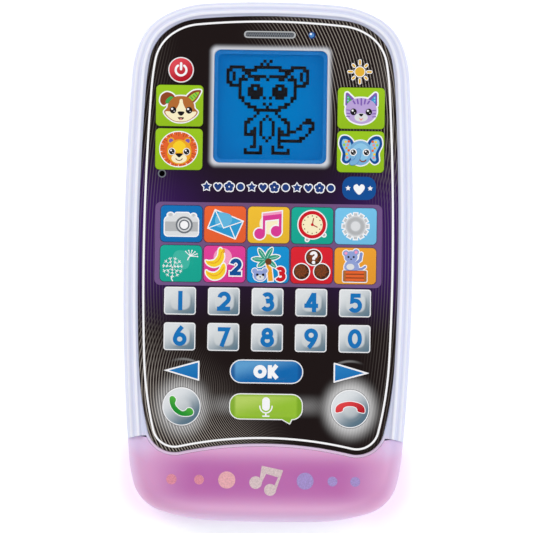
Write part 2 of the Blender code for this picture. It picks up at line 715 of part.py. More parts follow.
# ---- Electronics ----
def make_board():
    height = PCB_Y[1] - PCB_Y[0]
    outline = rounded(rectangle(2 * PCB_HALF_WIDTH, height, 3.0, (0.0, sum(PCB_Y) / 2)))
    finish(prism("main_pcb", [outline], *PCB_Z, PARTS), "board")
    blob = ((0.0, 15.0), (6.5, 15.0), (5.6, 13.8), (3.0, 13.0), (0.0, 12.8))
    finish(turned("chip_blob", blob, 14, PARTS, CHIP), "chip")
    led_low = PCB_Z[1] + GAP
    led = ((0.0, led_low + 3.6), (0.9, led_low + 3.3), (1.5, led_low + 2.2), (1.5, led_low), (0.0, led_low))
    for name, x in (("bar_led_left", -LED_X), ("bar_led_right", LED_X)):
        finish(turned(name, led, 10, PARTS, (x, LED_Y)), "led")


def make_key_mat():
    """The rubber mat with one dome per key, cut back around the display's tray."""
    wide, inner, top, arm_top, low = PCB_HALF_WIDTH, TRAY_SIZE / 2 + 0.8, 24.0, 65.0, -56.0
    corners = [(-wide, low, 2.0), (wide, low, 2.0), (wide, arm_top, 2.0), (inner, arm_top, 1.0),
               (inner, top, 0.0), (-inner, top, 0.0), (-inner, arm_top, 1.0), (-wide, arm_top, 2.0)]
    mat = prism("key_mat", [rounded(corners)], *MAT_Z, PARTS)
    work = bmesh.new()
    tall = DOME_TOP - MAT_Z[1] + 0.4
    for _, (x, y), _, _, _ in key_layout():
        ring = bmesh.ops.create_cone(work, cap_ends=True, segments=STEM_SIDES, radius1=2.0 * MM,
                                     radius2=1.5 * MM, depth=tall * MM)
        bmesh.ops.translate(work, verts=ring["verts"], vec=(x * MM, y * MM, (DOME_TOP - tall / 2) * MM))
    combine(mat, add_work("domes", work, CUTTERS), "UNION")
    return finish(mat, "rubber")


def make_display():
    lcd = rounded(rectangle(LCD_SIZE, LCD_SIZE, 0.8, WINDOW))
    finish(prism("lcd_module", [lcd], *LCD_Z, PARTS), "lcd")
    outline = rounded(rectangle(TRAY_SIZE, TRAY_SIZE, 1.5, WINDOW))
    tray = prism("lcd_tray", [outline], MAT_Z[0], LCD_Z[1], PARTS)
    pocket = rounded(rectangle(LCD_SIZE + 2 * GAP, LCD_SIZE + 2 * GAP, 1.1, WINDOW))
    cut(tray, prism("tray_pocket", [pocket], TRAY_FLOOR, 30.0, CUTTERS))
    finish(tray, "holder")


def make_speaker():
    r = SPEAKER_RADIUS
    low = FLOOR_TOP + GAP
    profile = ((0.0, low + 5.6), (6.0, low + 5.6), (6.0, low + 3.4), (r - 3.0, low + 2.6), (r - 1.0, low + 1.2),
               (r, low + 1.2), (r, low), (r - 2.0, low), (r - 4.0, low + 0.8), (4.0, low + 1.6), (0.0, low + 0.9))
    finish(turned("speaker", profile, 20, PARTS, SPEAKER), "speaker")
    top = DECK_Z[0] - GAP
    capsule = ((0.0, top), (3.0, top), (3.0, top - 2.7), (0.0, top - 2.7))
    finish(turned("microphone", capsule, 12, PARTS, MICROPHONE), "steel")


empty_scene()
PARTS = new_collection("toy_cell_phone")
CUTTERS = new_collection("cutters")
make_front_case()
make_light_bar()
make_faceplate()
make_window()
make_back_case()
make_battery_door()
make_screws()
for number, side in ((1, 1), (2, -1)):
    make_cell(f"battery_{number}", side)
    make_contact_spring(f"battery_spring_{number}", -side)
make_contacts()
make_board()
make_key_mat()
make_display()
make_speaker()
for key in key_layout():
    make_key(*key)
bpy.context.view_layer.update()
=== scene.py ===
"""The looks of a toy cell phone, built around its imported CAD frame.

Lengths are in millimetres until a mesh is made, where MM turns them into metres. The phone lies on
its back: X to the right, Y to its top end, Z up out of the screen.
"""
from functools import partialmethod
from math import atan, ceil, cos, hypot, pi, radians, sin

import bmesh
import bpy
import numpy as np
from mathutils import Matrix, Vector
from mathutils.bvhtree import BVHTree
from mathutils.geometry import delaunay_2d_cdt


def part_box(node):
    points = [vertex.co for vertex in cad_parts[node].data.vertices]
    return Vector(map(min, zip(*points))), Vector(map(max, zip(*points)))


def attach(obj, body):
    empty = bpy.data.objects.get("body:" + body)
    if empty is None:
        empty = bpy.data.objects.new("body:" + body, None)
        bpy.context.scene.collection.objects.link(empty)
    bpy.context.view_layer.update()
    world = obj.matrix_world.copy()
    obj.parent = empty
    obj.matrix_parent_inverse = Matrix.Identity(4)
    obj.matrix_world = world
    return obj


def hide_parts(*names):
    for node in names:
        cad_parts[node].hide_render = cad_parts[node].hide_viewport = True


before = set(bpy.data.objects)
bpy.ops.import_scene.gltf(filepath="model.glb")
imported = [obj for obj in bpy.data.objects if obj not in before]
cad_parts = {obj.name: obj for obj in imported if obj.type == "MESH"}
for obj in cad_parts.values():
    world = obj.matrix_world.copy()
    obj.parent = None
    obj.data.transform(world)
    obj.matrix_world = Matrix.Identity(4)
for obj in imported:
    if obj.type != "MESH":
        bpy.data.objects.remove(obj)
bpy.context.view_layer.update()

MM = 0.001


def node_box(node):
    """The lowest and highest corner of a CAD node, in mm."""
    low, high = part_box(node)
    return [c / MM for c in low], [c / MM for c in high]


def node_centre(node):
    low, high = node_box(node)
    return ((low[0] + high[0]) / 2, (low[1] + high[1]) / 2)


# ---- Sizes and places that follow the CAD model, mm ----
TOP = 85.0
PANEL_TOP = 80.0
# Right side from the middle of the top, as arcs of (radius, clockwise sweep in degrees)
CASE_ARCS = (
    (302.0, 4.06), (32.9, 25.41), (17.6, 39.92), (37.2, 17.08), (972.0, 3.53),
    (777.6, 4.74), (46.0, 10.88), (13.5, 56.59), (64.8, 16.75), (854.4, 1.04),
)
PANEL_ARCS = (
    (236.0, 5.85), (19.3, 30.55), (15.3, 43.66), (86.0, 6.38), (900.0, 3.56),
    (767.0, 2.39), (123.8, 11.15), (9.0, 89.0), (-127.5, -12.55),
)
LIP = 0.9
SEAM_STEP_Y = -57.2
SEAM_SIDE = ((41.0, -57.4), (45.0, -58.3), (50.0, -59.4))
SEAM_GAP = 0.08
DECK_TOP = 22.9
PLATE_LOW = 23.2
PLATE_TOP = 25.0
CAP_LOW = 23.9
CAP_TOP = 25.16
KEY_GAP = 0.12
BACK_SHOULDER = (7.0, 8.0)      # run in from the side, rise from the table
WALL = 2.0
WINDOW = node_centre("screen_window")
WINDOW_SIDE = 37.0
MICROPHONE = node_centre("microphone")
DOOR_SCREW = node_centre("door_screw")
CASE_SCREWS = [node_centre(f"case_screw_{i}") for i in (1, 2, 3, 4)]
EARPIECE = (-0.5, 73.9)
BAY = (0.0, -14.0)
TAB_REACH = 18.0                # from the door's middle to a tab's middle
# Heights that a cutting prism can end at: below the back, under the front case and above everything
BELOW, UNDER, ABOVE = -1.0, 10.0, 30.0

# ---- Steps of the meshes, mm ----
PRINT_STEP = 0.035              # one layer of ink
ARC_STEP = 1.2                  # longest side of a round outline
PIXEL = 1.0                     # a cell of the display
LEAST_BEND = 0.02               # radius that a shrinking corner keeps
MERGE = 1e-4                    # points this close become one
LEAST_TURN = 1e-9               # twice the area, mm2, below which a triangle is dropped
BLUNT = 0.35                    # keeps a shifted outline from running far out at a sharp corner


# ---- Materials ----
class Field:
    """A number that varies over a surface, so that patterns read as arithmetic."""

    def __init__(self, tree, socket):
        self.tree = tree
        self.socket = socket

    def math(self, operation, *others):
        node = self.tree.nodes.new("ShaderNodeMath")
        node.operation = operation
        for slot, value in zip(node.inputs, (self, *others)):
            if isinstance(value, Field):
                self.tree.links.new(value.socket, slot)
            else:
                slot.default_value = value
        return Field(self.tree, node.outputs[0])

    __add__ = partialmethod(math, "ADD")
    __sub__ = partialmethod(math, "SUBTRACT")
    __mul__ = partialmethod(math, "MULTIPLY")
    power = partialmethod(math, "POWER")
    larger = partialmethod(math, "MAXIMUM")
    size = partialmethod(math, "ABSOLUTE")
    wave = partialmethod(math, "SINE")

    def fade(self, start, end):
        """0 at start, 1 at end, smooth between."""
        node = self.tree.nodes.new("ShaderNodeMapRange")
        node.interpolation_type = "SMOOTHSTEP"
        (low, at_low), (high, at_high) = sorted(((start, 0.0), (end, 1.0)))
        for name, value in (("From Min", low), ("From Max", high), ("To Min", at_low), ("To Max", at_high)):
            node.inputs[name].default_value = value
        self.tree.links.new(self.socket, node.inputs["Value"])
        return Field(self.tree, node.outputs[0])

    def distance(self, other):
        """Length of the vector (self, other)."""
        return (self * self + other * other).power(0.5)


class Finish:
    """A Principled material whose colours are worked out from the place on the surface."""

    def __init__(self, name, roughness, **constants):
        self.material = bpy.data.materials.new(name)
        self.material.use_nodes = True
        self.tree = self.material.node_tree
        self.shader = self.tree.nodes["Principled BSDF"]
        self.shader.inputs["Roughness"].default_value = roughness
        for socket, value in constants.items():
            self.shader.inputs[socket.replace("_", " ")].default_value = value
        self.place = self.tree.nodes.new("ShaderNodeTexCoord").outputs["Object"]
        split = self.tree.nodes.new("ShaderNodeSeparateXYZ")
        self.tree.links.new(self.place, split.inputs[0])
        self.x, self.y, self.z = (Field(self.tree, out) * (1 / MM) for out in split.outputs)

    def noise(self, per_mm, detail=3.0):
        node = self.tree.nodes.new("ShaderNodeTexNoise")
        node.inputs["Scale"].default_value = per_mm / MM
        node.inputs["Detail"].default_value = detail
        self.tree.links.new(self.place, node.inputs["Vector"])
        return Field(self.tree, node.outputs["Fac"])

    def mix(self, amount, below, above):
        """From one colour to another, each linear RGB, a six-digit code or a socket."""
        node = self.tree.nodes.new("ShaderNodeMix")
        node.data_type = "RGBA"
        self.tree.links.new(amount.socket, node.inputs["Factor"])
        for slot, colour in ((node.inputs[6], below), (node.inputs[7], above)):
            if isinstance(colour, str):
                colour = rgb(colour)
            if isinstance(colour, tuple):
                slot.default_value = (*colour, 1.0)
            else:
                self.tree.links.new(colour, slot)
        return node.outputs[2]

    def colour(self, socket):
        self.tree.links.new(socket, self.shader.inputs["Base Color"])

    def glow(self, socket, strength):
        self.tree.links.new(socket, self.shader.inputs["Emission Color"])
        self.shader.inputs["Emission Strength"].default_value = strength

    def rough(self, field):
        self.tree.links.new(field.socket, self.shader.inputs["Roughness"])

    def bump(self, field, depth_mm):
        node = self.tree.nodes.new("ShaderNodeBump")
        node.inputs["Distance"].default_value = depth_mm * MM
        node.inputs["Strength"].default_value = 1.0
        self.tree.links.new(field.socket, node.inputs["Height"])
        self.tree.links.new(node.outputs["Normal"], self.shader.inputs["Normal"])

    def worn(self, colour, patches, spread, least, grain_mm, per_mm=6.0):
        """Sets the colour, a polish that varies in patches and a fine grain, and ends the finish."""
        self.colour(colour)
        self.rough(self.noise(patches) * spread + least)
        self.bump(self.noise(per_mm, 2.0), grain_mm)
        return self.material


def rgb(code):
    """Linear colour from a six-digit screen colour."""
    shown = [int(code[i:i + 2], 16) / 255 for i in (0, 2, 4)]
    return tuple(c / 12.92 if c <= 0.04045 else ((c + 0.055) / 1.055) ** 2.4 for c in shown)


def shaded(colour, factor):
    return tuple(min(1.0, c * factor) for c in colour)


def moulded(name, code, roughness, grain_mm, mottle=0.05, **constants):
    """Moulded plastic or print: a fine grain, slow colour drift and uneven polish."""
    made = Finish(name, roughness, **constants)
    drift = made.noise(0.12) * 0.7 + made.noise(2.5) * 0.3
    colour = made.mix(drift, shaded(rgb(code), 1 - mottle), shaded(rgb(code), 1 + mottle))
    return made.worn(colour, 0.5, 0.12, roughness - 0.06, grain_mm, 5.0)


INK_CODES = {
    "white": "f4f4f6", "black": "120e12", "digit_blue": "0f70b6", "deep_blue": "0b4c93", "navy": "1d3a78",
    "sky": "2b97cd", "pale_sky": "8cc4e4", "steel_sky": "78aed6", "mail_blue": "3fa3d4",
    "highlight_sky": "62b4dc", "red": "cc1724", "dark_red": "a00f18", "magenta": "d63a92", "pink": "f29ac0",
    "yellow": "f5cf2a", "amber": "e9a426", "gold": "e2b138", "cream": "f6ecc4", "orange": "e2632c",
    "rust": "8e4420", "brown": "6b3a1e", "dark_brown": "44230f", "tan": "b0692f", "grey": "b2b4b6",
    "light_grey": "dadcde", "silver": "c0c3c6", "dark_grey": "6d7279", "leaf": "3fa64a", "lime": "9ccb3b",
    "teal": "3fb3a0", "palm": "2f9a7d", "mint": "a7dccd", "lilac": "b9a2d6", "violet": "7d5bb0",
    "denim": "4b86c6", "coral": "e88f8f", "peri": "7f8fc8", "haze": "8f9fd2",
}
INKS = {}


def ink(name):
    """The print of that name, made the first time it is asked for."""
    if name not in INKS:
        INKS[name] = moulded("ink_" + name, INK_CODES[name], 0.4, 0.002, 0.04, Specular_IOR_Level=0.15)
    return INKS[name]


# ---- Outlines: lists of (x, y) that run anticlockwise ----
def arc_chain(start, arcs, inset):
    """Arcs of (radius, clockwise sweep) that meet smoothly, heading +X at first, moved in by inset."""
    x, y = start[0], start[1] - inset
    heading = 0.0
    points = [(x, y)]
    for radius, sweep in arcs:
        reach = radius - inset
        turn = radians(sweep)
        segments = max(2, ceil(abs(radius * turn) / ARC_STEP), ceil(abs(sweep) / 4))
        centre_x = x + reach * sin(heading)
        centre_y = y - reach * cos(heading)
        for step in range(1, segments + 1):
            angle = heading - turn * step / segments
            points.append((centre_x - reach * sin(angle), centre_y + reach * cos(angle)))
        heading -= turn
        x, y = points[-1]
    return points


def mirrored(half):
    right = [(0.0, half[0][1])] + half[1:-1] + [(0.0, half[-1][1])]
    return anticlockwise(right + [(-x, y) for x, y in reversed(right[1:-1])])


def anticlockwise(outline):
    area = sum(a[0] * b[1] - a[1] * b[0] for a, b in zip(outline, outline[1:] + outline[:1]))
    return outline if area > 0 else outline[::-1]


def case_outline(inset):
    return mirrored(arc_chain((0.0, TOP), CASE_ARCS, inset))


def panel_outline(inset):
    return mirrored(arc_chain((0.0, PANEL_TOP), PANEL_ARCS, inset))


def below_seam(gap):
    """The region of the light bar, which starts gap below the case's lip."""
    panel = arc_chain((0.0, PANEL_TOP), PANEL_ARCS, -LIP - gap)
    line = [point for point in panel[:-1] if point[1] < SEAM_STEP_Y - gap]
    side = [(x, y - gap) for x, y in SEAM_SIDE]
    low = -TOP - 5.0
    right = [(0.0, panel[-1][1])] + line[::-1] + side + [(SEAM_SIDE[-1][0], low), (0.0, low)]
    return mirrored(right)


def arc(x, y, rx, ry, start, end, count=24):
    """Points along part of an oval, angles in degrees."""
    angles = [radians(start + (end - start) * i / count) for i in range(count + 1)]
    return [(x + rx * cos(a), y + ry * sin(a)) for a in angles]


def oval(x, y, rx, ry=None, count=32):
    return arc(x, y, rx, rx if ry is None else ry, 0.0, 360.0, count)[:-1]


def rounded(corners, grow=0.0, segments=6):
    """An outline from anticlockwise corners of (x, y, radius), pushed outwards by grow."""
    edges = []
    for (ax, ay, _), (bx, by, _) in zip(corners, corners[1:] + corners[:1]):
        length = hypot(bx - ax, by - ay)
        edges.append(((bx - ax) / length, (by - ay) / length))
    points = []
    for i, (x, y, radius) in enumerate(corners):
        (ux, uy), (vx, vy) = edges[i - 1], edges[i]
        tangent = (ux * vy - uy * vx) / (1 + ux * vx + uy * vy)
        x += grow * (uy + tangent * ux)
        y += grow * (-ux + tangent * uy)
        if radius <= 0.0:
            points.append((x, y))
            continue
        side = 1.0 if tangent > 0 else -1.0
        bend = max(radius + side * grow, LEAST_BEND)
        centre_x = x - bend * (abs(tangent) * ux + side * uy)
        centre_y = y - bend * (abs(tangent) * uy - side * ux)
        for step in range(segments + 1):
            a = 2 * atan(tangent) * step / segments
            points.append((centre_x + side * bend * (uy * cos(a) + ux * sin(a)),
                           centre_y + side * bend * (-ux * cos(a) + uy * sin(a))))
    return points


def corners_of(width, height, radius, x=0.0, y=0.0):
    w, h = width / 2, height / 2
    return [(x - w, y - h, radius), (x + w, y - h, radius), (x + w, y + h, radius), (x - w, y + h, radius)]


def bar(x, y, width, height, radius=0.3):
    return rounded(corners_of(width, height, radius, x, y))


def blob(points, per_side=6):
    """A smooth closed curve through points."""
    count = len(points)
    out = []
    for i in range(count):
        quad = [points[(i + k) % count] for k in (-1, 0, 1, 2)]
        out += [spline_point(quad, step / per_side) for step in range(per_side)]
    return anticlockwise(out)


def smooth(points, per_side=6):
    """A smooth open curve through points."""
    ends = [points[0], *points, points[-1]]
    out = []
    for i in range(len(points) - 1):
        out += [spline_point(ends[i:i + 4], step / per_side) for step in range(per_side)]
    return out + [points[-1]]


def spline_point(quad, t):
    """Catmull-Rom interpolation between the middle two of four points."""
    weights = (-0.5 * t + t * t - 0.5 * t ** 3, 1 - 2.5 * t * t + 1.5 * t ** 3,
               0.5 * t + 2 * t * t - 1.5 * t ** 3, -0.5 * t * t + 0.5 * t ** 3)
    return tuple(sum(w * p[axis] for w, p in zip(weights, quad)) for axis in (0, 1))


def shift(outline, amount, closed=True):
    """The outline moved to its right by amount: outwards, if it runs anticlockwise."""
    count = len(outline)
    out = []
    for i, (x, y) in enumerate(outline):
        sides = []
        if closed or i:
            sides.append((outline[i - 1], (x, y)))
        if closed or i < count - 1:
            sides.append(((x, y), outline[(i + 1) % count]))
        nx = ny = 0.0
        for a, b in sides:
            length = hypot(b[0] - a[0], b[1] - a[1]) or 1.0
            nx += (b[1] - a[1]) / length / len(sides)
            ny += (a[0] - b[0]) / length / len(sides)
        stretch = 1.0 / max(nx * nx + ny * ny, BLUNT)
        out.append((x + amount * nx * stretch, y + amount * ny * stretch))
    return out


# A shape is (outline, [holes]); a figure is a list of shapes that count as one region.
def solid(*outlines):
    return [(anticlockwise(list(outline)), []) for outline in outlines]


def patch(*points):
    """One smooth closed shape through points."""
    return solid(blob(points))


def both_sides(half, middle=0.0):
    """Half an outline, top to bottom, and its mirror image in x = middle on the way back."""
    return [*half, *((2 * middle - x, y) for x, y in reversed(half) if x != middle)]


def even_patch(*half, middle=0.0):
    """A smooth shape that is alike on both sides of x = middle."""
    return patch(*both_sides(half, middle))


def stroke(path, width, flat=False):
    """A line of that width with round joints, and with round or flat ends."""
    half = width / 2
    rounds = [] if flat else [path[0], path[-1]]
    for a, b, c in zip(path, path[1:], path[2:]):
        if abs((b[0] - a[0]) * (c[1] - b[1]) - (b[1] - a[1]) * (c[0] - b[0])) > 0.15 * half:
            rounds.append(b)
    sides = shift(path, half, False) + shift(path, -half, False)[::-1]
    return [(sides, [])] + [(oval(*place, half, count=14), []) for place in rounds]


def loop(outline, width):
    """A closed line of that width."""
    run = anticlockwise(list(outline))
    return [(shift(run, width / 2), [shift(run, -width / 2)])]


def grown(figure, amount):
    return [(shift(anticlockwise(o), amount), [shift(anticlockwise(h), -amount) for h in holes])
            for o, holes in figure]


def placed(figure, x=0.0, y=0.0, turn=0.0, scale=1.0):
    """The figure scaled, turned by degrees and moved."""
    across, along = scale * cos(radians(turn)), scale * sin(radians(turn))

    def moved(outline):
        return [(x + px * across - py * along, y + px * along + py * across) for px, py in outline]

    return [(moved(o), [moved(h) for h in holes]) for o, holes in figure]


# ---- Meshes ----
def winding(points, outline):
    """How many times an outline runs round each point."""
    x, y = points[:, 0], points[:, 1]
    total = np.zeros(len(points), int)
    for (ax, ay), (bx, by) in zip(outline, outline[1:] + outline[:1]):
        side = (bx - ax) * (y - ay) - (x - ax) * (by - ay)
        total += (ay <= y) & (by > y) & (side > 0)
        total -= (ay > y) & (by <= y) & (side < 0)
    return total


def inside(points, figure):
    found = np.zeros(len(points), bool)
    for outline, holes in figure:
        part = winding(points, outline) != 0
        for hole in holes:
            part &= winding(points, hole) == 0
        found |= part
    return found


def divided(outline, longest):
    """The outline with points added, so that no side is longer than that."""
    out = []
    for (ax, ay), (bx, by) in zip(outline, outline[1:] + outline[:1]):
        parts = max(1, ceil(hypot(bx - ax, by - ay) / longest))
        out += [(ax + (bx - ax) * i / parts, ay + (by - ay) * i / parts) for i in range(parts)]
    return out


def triangulated(figure, spacing=None, divide=True):
    """Points and triangles that fill a figure as one region.

    With a spacing, points are added inside it, and along its outlines too unless divide is off.
    """
    points, edges = [], []
    for outline, holes in figure:
        for run in (outline, *holes):
            run = divided(run, spacing) if spacing and divide else run
            base = len(points)
            points += [Vector(p) for p in run]
            edges += [(base + i, base + (i + 1) % len(run)) for i in range(len(run))]
    if spacing:
        low = np.min([p[:] for p in points], axis=0)
        high = np.max([p[:] for p in points], axis=0)
        grid = np.array([(x, y) for x in np.arange(low[0] + spacing / 2, high[0], spacing)
                         for y in np.arange(low[1] + spacing / 2, high[1], spacing)])
        if len(grid):
            keep = inside(grid, [(shift(o, -spacing / 3), [shift(h, spacing / 3) for h in holes])
                                 for o, holes in figure])
            points += [Vector(p) for p in grid[keep]]
    verts, _, faces, _, _, _ = delaunay_2d_cdt(points, edges, [], 0, MERGE)
    flat = np.array([v[:] for v in verts])
    centres = np.array([flat[list(f)].mean(axis=0) for f in faces])
    kept = [f for f, good in zip(faces, inside(centres, figure)) if good]
    out = []
    for f in kept:
        (ax, ay), (bx, by), (cx, cy) = (flat[i] for i in f[:3])
        turn = (bx - ax) * (cy - ay) - (by - ay) * (cx - ax)
        if abs(turn) > LEAST_TURN:
            out.append(tuple(f) if turn > 0 else tuple(f)[::-1])
    return flat, out


def add_slab(work, flat, faces, top, bottom, index):
    """A closed solid over triangulated points, between the heights that top(i) and bottom(i) give."""
    upper, lower = {}, {}
    for i in sorted({i for f in faces for i in f}):
        x, y = flat[i]
        upper[i] = work.verts.new((x * MM, y * MM, top(i) * MM))
        lower[i] = work.verts.new((x * MM, y * MM, bottom(i) * MM))
    sides = {(f[k], f[(k + 1) % len(f)]) for f in faces for k in range(len(f))}
    made = [work.faces.new([upper[i] for i in f]) for f in faces]
    made += [work.faces.new([lower[i] for i in reversed(f)]) for f in faces]
    for a, b in sides:
        if (b, a) not in sides:
            made.append(work.faces.new((lower[a], lower[b], upper[b], upper[a])))
    for face in made:
        face.material_index = index


class Piece:
    """One visible piece in the making: a bmesh, its materials and the surface that ink lies on."""

    def __init__(self, name, place=(0.0, 0.0)):
        self.name = name
        self.place = place
        self.work = bmesh.new()
        self.materials = []
        self.surface = None         # height at (x, y), or None for the faceplate's flat top
        self.spacing = None

    def index(self, material):
        material = ink(material) if isinstance(material, str) else material
        if material not in self.materials:
            self.materials.append(material)
        return self.materials.index(material)

    def slab(self, figure, material, low, high):
        flat, faces = triangulated(figure)
        add_slab(self.work, flat, faces, lambda i: high, lambda i: low, self.index(material))

    def rings(self, sections, close=True):
        """A skin through rings of (outline, height, material) with equal counts, bottom first."""
        made = []
        for outline, height, _ in sections:
            made.append([self.work.verts.new((x * MM, y * MM, height * MM)) for x, y in outline])
        count = len(made[0])
        for lower, upper, section in zip(made, made[1:], sections):
            index = self.index(section[2])
            for i in range(count):
                j = (i + 1) % count
                self.work.faces.new((lower[i], lower[j], upper[j], upper[i])).material_index = index
        ends = [made[0][::-1], made[-1]] if close else [made[0][::-1]]
        for end in ends:
            self.work.faces.new(end).material_index = self.index(sections[-1][2])

    def print(self, figure, material, layer=1):
        """Ink on the surface. A higher layer lies over a lower one."""
        flat, faces = triangulated(figure, self.spacing)
        rise = layer * PRINT_STEP
        heights = {i: self.surface(*flat[i]) if self.surface else PLATE_TOP for f in faces for i in f}
        add_slab(self.work, flat, faces, lambda i: heights[i] + rise, lambda i: heights[i] - PRINT_STEP,
                 self.index(material))

    def dots(self, material, layer, *ovals, count=32):
        """Prints ovals of (x, y, half width), or with a half height too, as one region."""
        self.print(solid(*[oval(*each, count=count) for each in ovals]), material, layer)

    def outlined(self, figure, material, layer=2, edge=0.38):
        """A figure with a white edge round it, as on a sticker."""
        self.print(grown(figure, edge), "white", layer - 1)
        self.print(figure, material, layer)

    def loose(self):
        """Ends the piece as an object that isn't on a body yet."""
        mesh = bpy.data.meshes.new(self.name)
        self.work.to_mesh(mesh)
        self.work.free()
        for material in self.materials:
            mesh.materials.append(material)
        made = bpy.data.objects.new(self.name, mesh)
        made.location = (self.place[0] * MM, self.place[1] * MM, 0.0)
        bpy.context.scene.collection.objects.link(made)
        return made

    def finish(self, body, node, slot):
        settle(self.loose(), body, node, 40.0)


def settle(made, body, node, sharp=35.0):
    """Shades an object and puts it on its body, in place of a CAD node if one is named."""
    made.data.shade_smooth()
    made.data.set_sharp_from_angle(angle=radians(sharp))
    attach(made, body)
    if node:
        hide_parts(node)


def boolean(target, other, operation="DIFFERENCE"):
    """Applies a Boolean between two loose objects and removes the second."""
    change = target.modifiers.new("change", "BOOLEAN")
    change.operation = operation
    change.object = other
    change.solver = "EXACT"
    bpy.context.view_layer.update()
    evaluated = target.evaluated_get(bpy.context.evaluated_depsgraph_get())
    mesh = bpy.data.meshes.new_from_object(evaluated)
    target.modifiers.clear()
    target.data = mesh
    bpy.data.objects.remove(other, do_unlink=True)


def shell(name, rings, material):
    """A loose closed body through rings of (outline, height), bottom first."""
    piece = Piece(name)
    piece.rings([(outline, height, material) for outline, height in rings])
    bmesh.ops.recalc_face_normals(piece.work, faces=piece.work.faces)
    return piece.loose()


def carve(target, figure, low, high, operation="DIFFERENCE"):
    """Cuts an upright prism out of a loose object, joins it on or keeps what lies inside it."""
    piece = Piece("prism")
    piece.slab(figure, target.data.materials[0], low, high)
    bmesh.ops.recalc_face_normals(piece.work, faces=piece.work.faces)
    boolean(target, piece.loose(), operation)


def surface_of(made):
    """The height of an object's upper side at any place, found by a ray from above."""
    tree = BVHTree.FromObject(made, bpy.context.evaluated_depsgraph_get())

    def height(x, y):
        hit = tree.ray_cast(Vector((x * MM, y * MM, ABOVE * MM)), Vector((0.0, 0.0, -1.0)))[0]
        return hit.z / MM if hit is not None else PLATE_TOP

    return height


# ---- Shells ----
def case_rings(profile):
    """The case's outline moved in by each (inset, height) of a profile."""
    return [(case_outline(inset), height) for inset, height in profile]


def case_finish():
    """Lavender ABS: glossy, slightly see-through at the surface, with a very fine moulded grain, and
    painted light and shade on its rim and sides.
    """
    made = Finish("lavender_abs", 0.34, Subsurface_Weight=0.05, Subsurface_Scale=0.002,
                  Specular_IOR_Level=0.35)
    drift = made.noise(0.02) * 0.6 + made.noise(0.3) * 0.4
    colour = made.mix(drift, "d3d7f0", "dde1f7")
    # Painted shade, deeper down the sides
    colour = made.mix(made.z.fade(22.5, 18.0) * 0.5, colour, "c3c8e4")
    # Painted highlights along the two ridges of the rim
    ridge_highlight = (made.z - 23.45).size().fade(0.5, 0.1).larger(made.z.fade(25.55, 25.9))
    colour = made.mix(ridge_highlight * 0.75, colour, "f6f7ff")
    # Painted shade in the step between the ridges
    colour = made.mix((made.z - 24.4).size().fade(0.6, 0.1) * 0.5, colour, "c6c9e2")
    # Painted pink light from the lit end on the lip beside it
    beside = made.y.fade(-55.0, -61.0) * made.x.size().fade(41.5, 39.0) * made.z.fade(20.0, 23.0)
    return made.worn(made.mix(beside * 0.85, colour, "ecd0ea"), 0.4, 0.14, 0.27, 0.004)


# Steps of (inset, height), bottom first
RIM_PROFILE = (
    (0.25, 13.32), (0.02, 13.6), (0.0, 15.0), (0.0, 17.8), (0.2, 20.3), (0.7, 22.4), (1.2, 23.35),
    (1.7, 23.7), (2.1, 23.9), (2.45, 24.4), (2.85, 25.3), (3.3, 25.85), (3.65, 25.95), (4.05, 25.8),
    (4.45, 25.3), (4.8, 24.85), (5.6, 24.6),
)
BAR_PROFILE = (
    (0.3, 13.32), (0.04, 13.7), (0.0, 15.5), (0.12, 17.5), (0.6, 19.6), (1.6, 21.8), (3.1, 23.5),
    (5.2, 24.6), (7.8, 25.05), (10.4, 25.18),
)
BAR_HOLLOW = ((2.0, 12.0), (2.0, 16.5), (3.2, 20.0), (5.4, 22.4), (10.4, 23.2))


def make_front_case(finish):
    case = shell("front_case_look", case_rings(smooth(RIM_PROFILE, 4)), finish)
    carve(case, [(below_seam(0.0), [])], UNDER, ABOVE)
    carve(case, [(panel_outline(0.0), [])], DECK_TOP, ABOVE)
    carve(case, [(case_outline(WALL), [])], UNDER, DECK_TOP - 1.0)
    side = WINDOW_SIDE - 2.4
    carve(case, solid(bar(*WINDOW, side, side, 1.0), oval(*MICROPHONE, 0.9)), UNDER, ABOVE)
    settle(case, "body", "front_case")


def bar_finish():
    """Frosted magenta plastic lit from inside, strongest in a band across the middle."""
    made = Finish("lit_pink_plastic", 0.42, Coat_Weight=0.1, Coat_Roughness=0.35, Subsurface_Weight=0.2,
                  Subsurface_Scale=0.004, Specular_IOR_Level=0.4)
    away = made.x.size()
    ends = away.fade(38.0, 47.5).larger(away.fade(31.0, 42.0) * made.y.fade(-67.0, -60.0))
    low_edge = made.y.fade(-80.5, -85.5).larger(made.z.fade(21.0, 15.0))
    pale = made.mix(ends.larger(low_edge), "cd9ac1", "c9b2d4")
    core = ((made.y + 71.0) * 0.1).power(2.0).fade(1.0, 0.0) * away.fade(45.0, 22.0)
    cloud = made.noise(0.06, 2.0) * 0.16 + 0.9
    tint = made.mix(core * cloud, pale, "ab5e9e")
    made.glow(tint, 0.2)
    return made.worn(tint, 0.4, 0.12, 0.36, 0.004, 4.0)


def decor_finish(name, code):
    """Speckled print on the light bar."""
    made = Finish("decor_" + name, 0.5)
    speck = made.noise(3.0, 2.0)
    tint = made.mix(speck.fade(0.3, 0.7), shaded(rgb(code), 0.86), shaded(rgb(code), 1.14))
    made.colour(tint)
    made.glow(tint, 0.08)
    made.bump(speck, 0.03)
    return made.material


def make_light_bar():
    finish = bar_finish()
    light = shell("light_bar_look", case_rings(smooth(BAR_PROFILE, 4)), finish)
    carve(light, [(below_seam(SEAM_GAP), [])], UNDER, ABOVE, "INTERSECT")
    boolean(light, shell("hollow", case_rings(BAR_HOLLOW), finish))
    settle(light, "body", "light_bar")
    print_bar(light)


